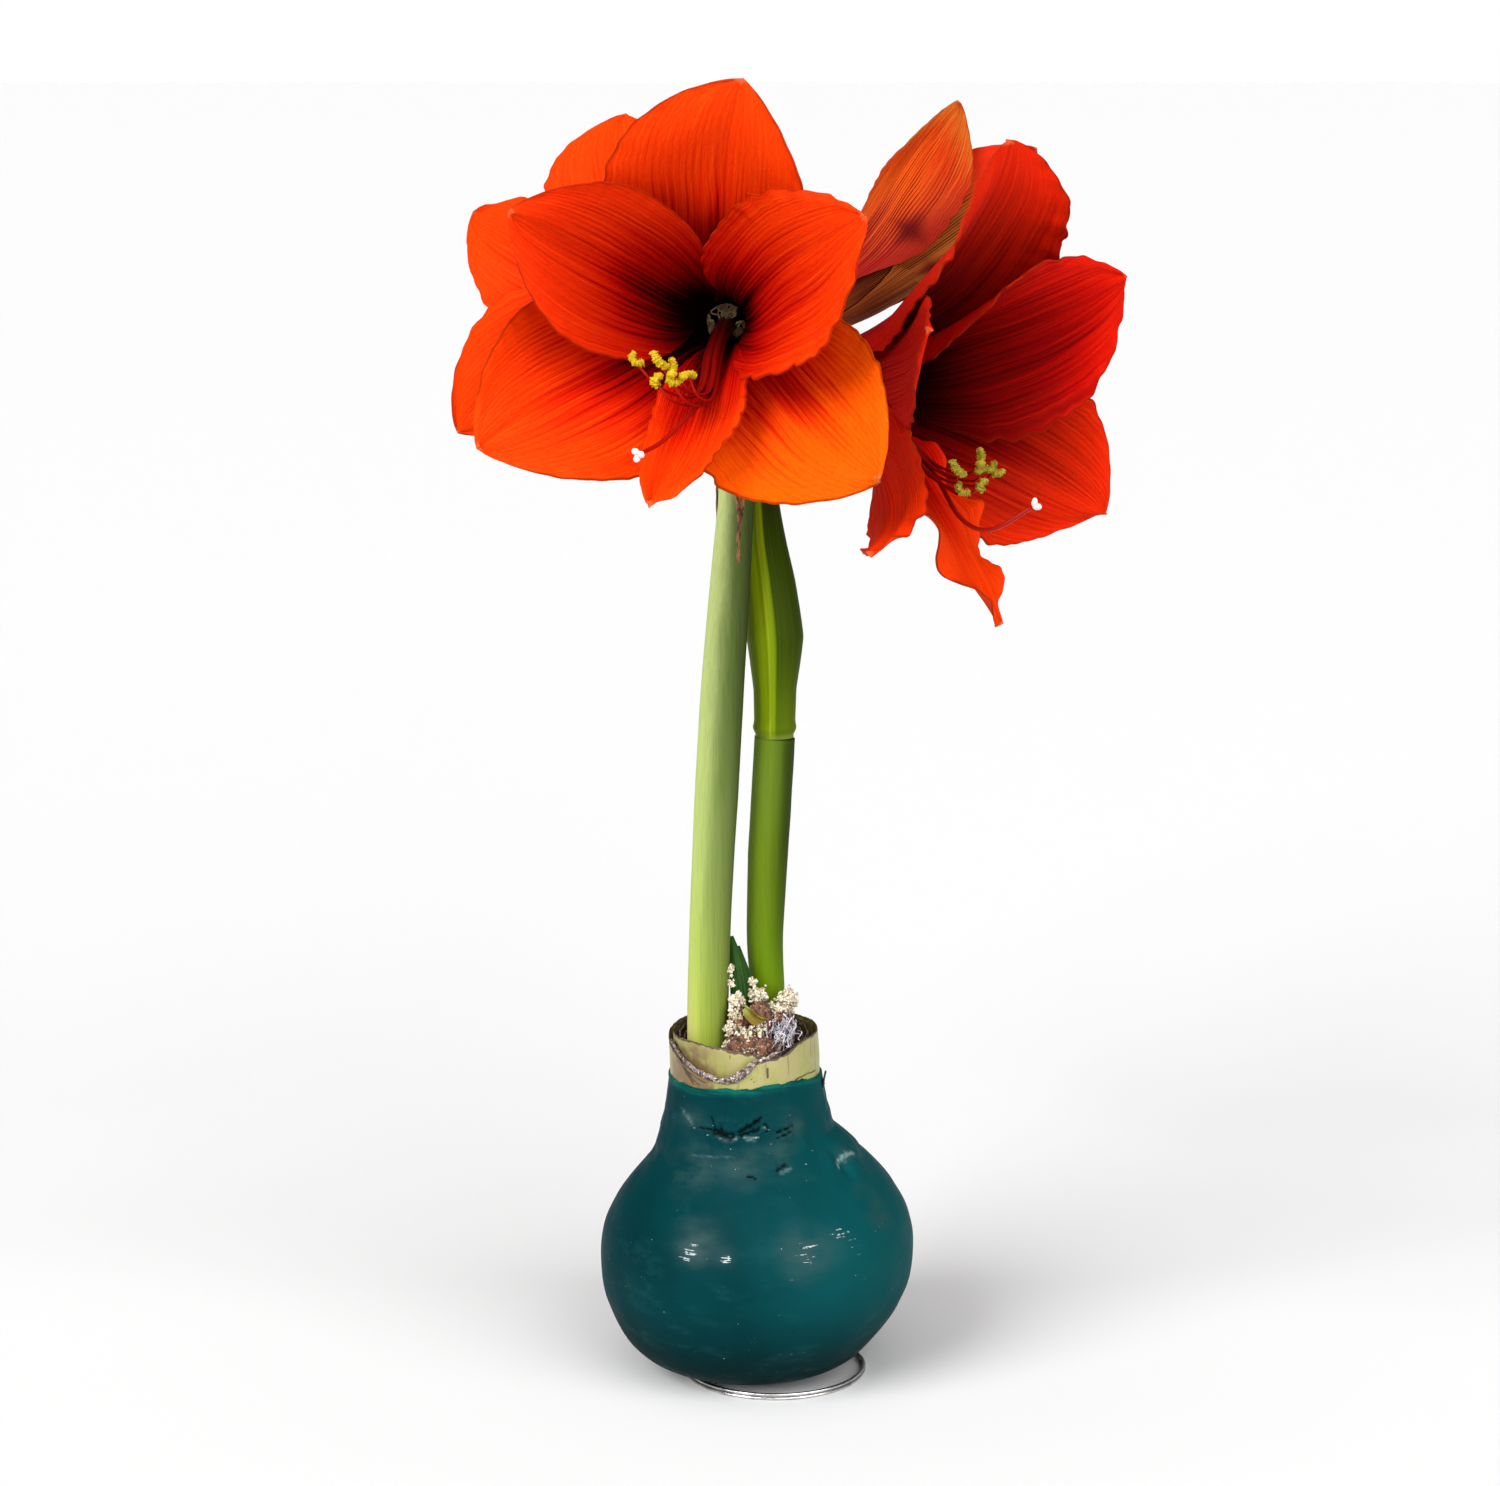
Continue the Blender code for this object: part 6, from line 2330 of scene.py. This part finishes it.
    def build_style(self) -> None:
        """The style with its three-lobed pale stigma."""
        flower = self.flower
        foot = raised(CUP_FLOOR - CUP_LENGTH + GAP)
        knots = [foot] + [self.bundle(t) for t in (0.0, 0.33, 0.66, 1.0)]
        knots += [Vector(p) for p in flower.style_line]
        line = [flower.world(spline(knots, i / 90)) for i in range(91)]
        name = flower.name
        stalk = tube("style_stalk_" + name, Path(line), 10, taper(0.00085, 0.00062, 0.012))
        settle(stalk, Slot.STYLE, [RED_THREAD], ["style_" + name])
        tip = line[-1]
        ahead = (line[-1] - line[-4]).normalized()
        side = ahead.orthogonal().normalized()
        other = ahead.cross(side)
        lobes = []
        steps = [j / 18 for j in range(19)]
        for i in range(3):
            out, _ = turned(side, other, tau * i / 3 + 0.5)
            curl = [tip + out * (0.002 * t) + ahead * (0.0012 * sin(2.2 * t)) for t in steps]
            lobes.append(tube("stigma_" + name, Path(curl), 12, taper(0.0008, 0.0011, 0.4)))
        settle(join(lobes), Slot.STYLE, [PALE_STIGMA])

    def build_corona(self) -> None:
        """The frayed scales that close the throat over the filaments, one above and two at the sides."""
        flower = self.flower
        draw = random.Random(len(flower.name))
        strips = []
        for index in range(flower.strips):
            clock = radians((0, 112, -112)[index % 3] + flower.spin + draw.gauss(0, 13))
            out = clockwise(clock)
            across = Vector((out.y, -out.x, 0.0))
            reach, lift, aside = draw.uniform(0.5, 1.1), draw.uniform(0.0028, 0.006), draw.gauss(0, 0.0012)
            line = []
            for i in range(17):
                t = i / 16
                radius = mix(THROAT_RADIUS - 0.001, 0.0026 if index % 3 else 0.0004, t * reach)
                rise = raised(0.0002 + lift * sin(1.7 * t))
                line.append(flower.world(out * radius + across * (aside * sin(3 * t)) + rise))

            def thick(angle: float, t: float) -> float:
                """The strip's radius, knobbly and thinner at its end."""
                knots = 1.0 + 0.9 * wobble(t * 9, cos(angle) * 2 + index, sin(angle) * 2)
                return mix(0.00034, 0.0002, t) * knots * rounded(t, 0.12)

            strips.append(tube("corona_" + flower.name, Path(line), 6, thick))
        settle(join(strips), Slot.STAMENS, [CORONA_FRINGE])

    def build_pedicel(self) -> None:
        """The flower's stalk, which swells into the ovary below the cup."""
        flower = self.flower
        start = Vector(self.umbel) + Vector((flower.foot[0], flower.foot[1], GAP))
        end = flower.world((0, 0, -CUP_LENGTH - GAP))
        neck = end - flower.axis * OVARY_LENGTH
        span = (neck - start).length
        out = start + Vector((flower.lean[0], flower.lean[1], 0.4 * span))
        back = neck - flower.axis * (0.12 * span)
        stalk, ovary = 48, 24
        line = []
        for i in range(stalk):
            t = i / stalk
            weights = ((1 - t) ** 3, 3 * t * (1 - t) ** 2, 3 * t * t * (1 - t), t**3)
            line.append(start * weights[0] + out * weights[1] + back * weights[2] + neck * weights[3])
        line += [neck.lerp(end, i / ovary) for i in range(ovary + 1)]
        bulge = stalk / (stalk + ovary)

        def reach(angle: float, t: float) -> float:
            """The stalk's radius, wider and three-lobed in the ovary."""
            if t < bulge:
                radius = mix(0.0021, 0.0025, t / bulge)
            else:
                radius = 0.0025 + 0.0011 * sin(min((t - bulge) / (1 - bulge) * 1.9, pi / 2))
            lobes = 0.07 * cos(3 * angle) * smooth((t - bulge + 0.1) / 0.15)
            return radius * (1.0 + lobes + 0.02 * wobble(cos(angle) * 2, sin(angle) * 2, t * 12))

        piece = tube("flower_stalk_" + flower.name, Path(line, Vector((1, 0, 0))), 28, reach)
        settle(piece, Slot.PEDICEL, [PEDICEL_SKIN], ["pedicel_" + flower.name])

    def build(self) -> None:
        """Builds all of the flower."""
        self.build_perianth()
        self.build_stamens()
        self.build_style()
        self.build_corona()
        self.build_pedicel()


FLOWERS = (
    Flower(
        name="front", throat=(-0.0118, -0.036, 0.341), facing=-10.0, lift=4.0, spin=4.0,
        foot=(-0.0032, -0.0028), lean=(-0.0013, -0.0032), pollen=BRIGHT_POLLEN,
        stamen_low=(0.0033, -0.0205, 0.053), stamen_end=(-0.0049, -0.013, 0.0732),
        anthers=(
            (-0.002, -0.0125, 0.0725), (0.002, -0.0143, 0.071), (-0.0025, -0.016, 0.0725),
            (-0.007, -0.016, 0.0735), (-0.0132, -0.0107, 0.0715), (-0.0056, -0.0108, 0.0745),
        ),
        style_line=((-0.0005, -0.028, 0.068), (-0.004, -0.033, 0.079), (-0.0075, -0.0357, 0.09)),
        tepals=[
            Tepal(0.101, 0.0316, 38, 62, 11, 4, 2, left=1.1, cup=8, frill=0.0003, tone=-0.3),
            Tepal(0.106, 0.0277, 33, 61, -8, 9, 9, left=0.82, right=1.17, cup=4, frill=0.0009, tone=0.24),
            Tepal(0.102, 0.0312, 42, 57, 7, -9, 13, left=0.92, right=1.14, cup=10, tone=-0.82),
            Tepal(0.104, 0.016, 34, 24, 2, -2, -10, left=1.3, right=0.6, cup=20, frill=0.0009),
            Tepal(0.098, 0.0323, 43, 50, 0, -17, 3, left=1.18, right=0.91, cup=26, tone=-0.1),
            Tepal(
                0.099, 0.0262, 34.5, 47, 3, -9, -11, left=1.08, right=0.92, cup=7, frill=0.0003, tone=0.45,
            ),
        ],
    ),
    Flower(
        name="right", throat=(0.0147, -0.016, 0.324), facing=50.0, lift=-4.0, spin=0.0,
        foot=(0.003, -0.003), stamen_low=(-0.005, -0.0215, 0.05), stamen_end=(-0.012, -0.0194, 0.0712),
        anthers=(
            (-0.0114, -0.0145, 0.0725), (-0.0087, -0.0182, 0.0715), (-0.0052, -0.0191, 0.073),
            (-0.0103, -0.0229, 0.072), (-0.0149, -0.0245, 0.0685), (-0.018, -0.018, 0.069),
        ),
        style_line=((-0.0135, -0.0325, 0.068), (-0.016, -0.0338, 0.081), (-0.0109, -0.0261, 0.0917)),
        tepals=[
            Tepal(0.105, 0.03, 42, 76, -6, -3, right=1.2, cup=26, fullness=0.62, frill=0.0008, tone=0.8),
            Tepal(0.1, 0.0318, 30, 69, -11, -1.5, 2, left=1.15, cup=15, frill=0.0009, tone=1.0),
            Tepal(0.098, 0.03, 43, 73, -2, 10, -24, cup=-7, tone=0.7),
            Tepal(
                0.099, 0.019, 44, 60, 2, -8, 8, left=0.65, right=1.15, ruffle=0.0035, waves=4.5,
                frill=0.0013,
            ),
            Tepal(0.11, 0.0165, 39, 77, -9, 24, 58, ruffle=0.002, cup=11, frill=0.001, tone=0.4),
            Tepal(0.098, 0.0203, 37, 51, -5, 3, -13, left=1.1, right=0.9, cup=-7, tone=1.0),
        ],
    ),
    Flower(
        name="back", throat=(-0.0198, 0.044, 0.338), facing=-150.0, lift=6.0, spin=0.0,
        foot=(-0.0028, 0.0032), lean=(-0.004, 0.002), pollen=BRIGHT_POLLEN, columns=26, rows=88, strips=24,
        tepals=[
            Tepal(0.086, 0.0318, 36, 48, -6, -4, 9, left=1.08, right=1.15, cup=1),
            Tepal(0.101, 0.0285, 27, 23, 6, -6, -28, right=1.08, cup=1, frill=0.0009),
            Tepal(0.101, 0.027, 39, 76, 13, 10, -23, cup=17), Tepal(0.106, 0.0238, 39, 70, 4, 2),
            Tepal(0.1, 0.0272, 35, 60), Tepal(0.099, 0.0261, 33, 60),
        ],
    ),
    Flower(
        name="opening", throat=(0.015, 0.034, 0.337), facing=126.6, lift=28.1, spin=57.4, outer_first=False,
        foot=(0.0032, 0.0028), lean=(0.004, -0.001), outside=BUD_OUTSIDE, wrap=1.0, base_outer=12.0,
        base_inner=4.0, stamen_low=(0.0, -0.001, 0.03), stamen_end=(0.0, -0.001, 0.048),
        style_line=((0.0, -0.001, 0.046), (0.0, -0.001, 0.062)), spread=0.0052, columns=26, rows=88,
        strips=24,
        tepals=[
            Tepal(0.08, 0.019, 8, 2, tone=1.0), Tepal(0.08, 0.019, 8, 2, tone=1.0),
            Tepal(0.082, 0.014, 3, -3, tone=1.0), Tepal(0.082, 0.013, 4, -6, cup=30, tone=1.0),
            Tepal(0.09, 0.0203, 19, 10, 0, 0, 2, left=0.87, tone=1.0),
            Tepal(0.086, 0.0222, 22, 14, -3, -1, -2, left=1.1, right=0.77),
        ],
    ),
)


# The studio


@dataclass
class Studio:
    """A pale floor, soft daylight from the front left, and the camera.

    A sun is its name, degrees round from the front, degrees up, strength and apparent size.
    """

    camera_place: Point = (-0.0061, -1.1063, 0.4185)
    camera_tilt: float = 79.1
    lens: float = 85.44
    sensor: float = 36.0
    floor_half: float = 60.0
    sky: float = 0.16
    suns: tuple[tuple[str, float, float, float, float], ...] = (
        ("key", -44.0, 32.0, 3.6, 38.0), ("fill", 36.0, 22.0, 3.0, 60.0), ("top", 0.0, 66.0, 1.2, 60.0),
    )

    def build_floor(self) -> None:
        """The floor just under the ring."""
        deselect()
        bpy.ops.mesh.primitive_plane_add(size=2 * self.floor_half)
        floor = bpy.context.object
        floor.name = "floor"
        floor.data.materials.append(Wardrobe.of(FloorFinish()))

    def build_lights(self) -> None:
        """Three large soft suns and a pale sky that shows white."""
        for name, around, up, strength, size in self.suns:
            light = bpy.data.lights.new(name, "SUN")
            light.energy = strength
            light.angle = radians(size)
            lamp = bpy.data.objects.new(name, light)
            bpy.context.scene.collection.objects.link(lamp)
            a, e = radians(around), radians(up)
            towards = Vector((sin(a) * cos(e), -cos(a) * cos(e), sin(e)))
            lamp.rotation_euler = towards.to_track_quat("Z", "Y").to_euler()
        world = bpy.data.worlds.new("studio")
        bpy.context.scene.world = world
        world.use_nodes = True
        nodes, links = world.node_tree.nodes, world.node_tree.links
        sky = nodes["Background"]
        sky.inputs["Strength"].default_value = self.sky
        seen = nodes.new("ShaderNodeBackground")
        seen.inputs["Strength"].default_value = 1.0
        for background in (sky, seen):
            background.inputs["Color"].default_value = (1.0, 1.0, 1.0, 1.0)
        path = nodes.new("ShaderNodeLightPath")
        choose = nodes.new("ShaderNodeMixShader")
        links.new(path.outputs["Is Camera Ray"], choose.inputs[0])
        links.new(sky.outputs[0], choose.inputs[1])
        links.new(seen.outputs[0], choose.inputs[2])
        links.new(choose.outputs[0], nodes["World Output"].inputs["Surface"])

    def build_camera(self) -> None:
        """The camera, level across and tilted a little down."""
        data = bpy.data.cameras.new("camera")
        data.lens = self.lens
        data.sensor_width = self.sensor
        camera = bpy.data.objects.new("camera", data)
        bpy.context.scene.collection.objects.link(camera)
        camera.location = self.camera_place
        camera.rotation_euler = (radians(self.camera_tilt), 0.0, 0.0)
        bpy.context.scene.camera = camera

    def build(self) -> None:
        """Builds the whole studio."""
        self.build_floor()
        self.build_lights()
        self.build_camera()
        bpy.context.scene.view_settings.view_transform = "Standard"


def main() -> None:
    """Builds everything in order."""
    logging.basicConfig(level=logging.INFO, format="%(name)s %(message)s")
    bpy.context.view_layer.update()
    Studio().build()
    WireStand().build()
    WaxCoat().build()
    BulbScales().build()
    DryTuft().build()
    Scapes().build()
    SpatheBud().build()
    SmallBlades().build()
    for flower in FLOWERS:
        Bloom(flower).build()
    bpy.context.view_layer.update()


if __name__ == "__main__":
    main()
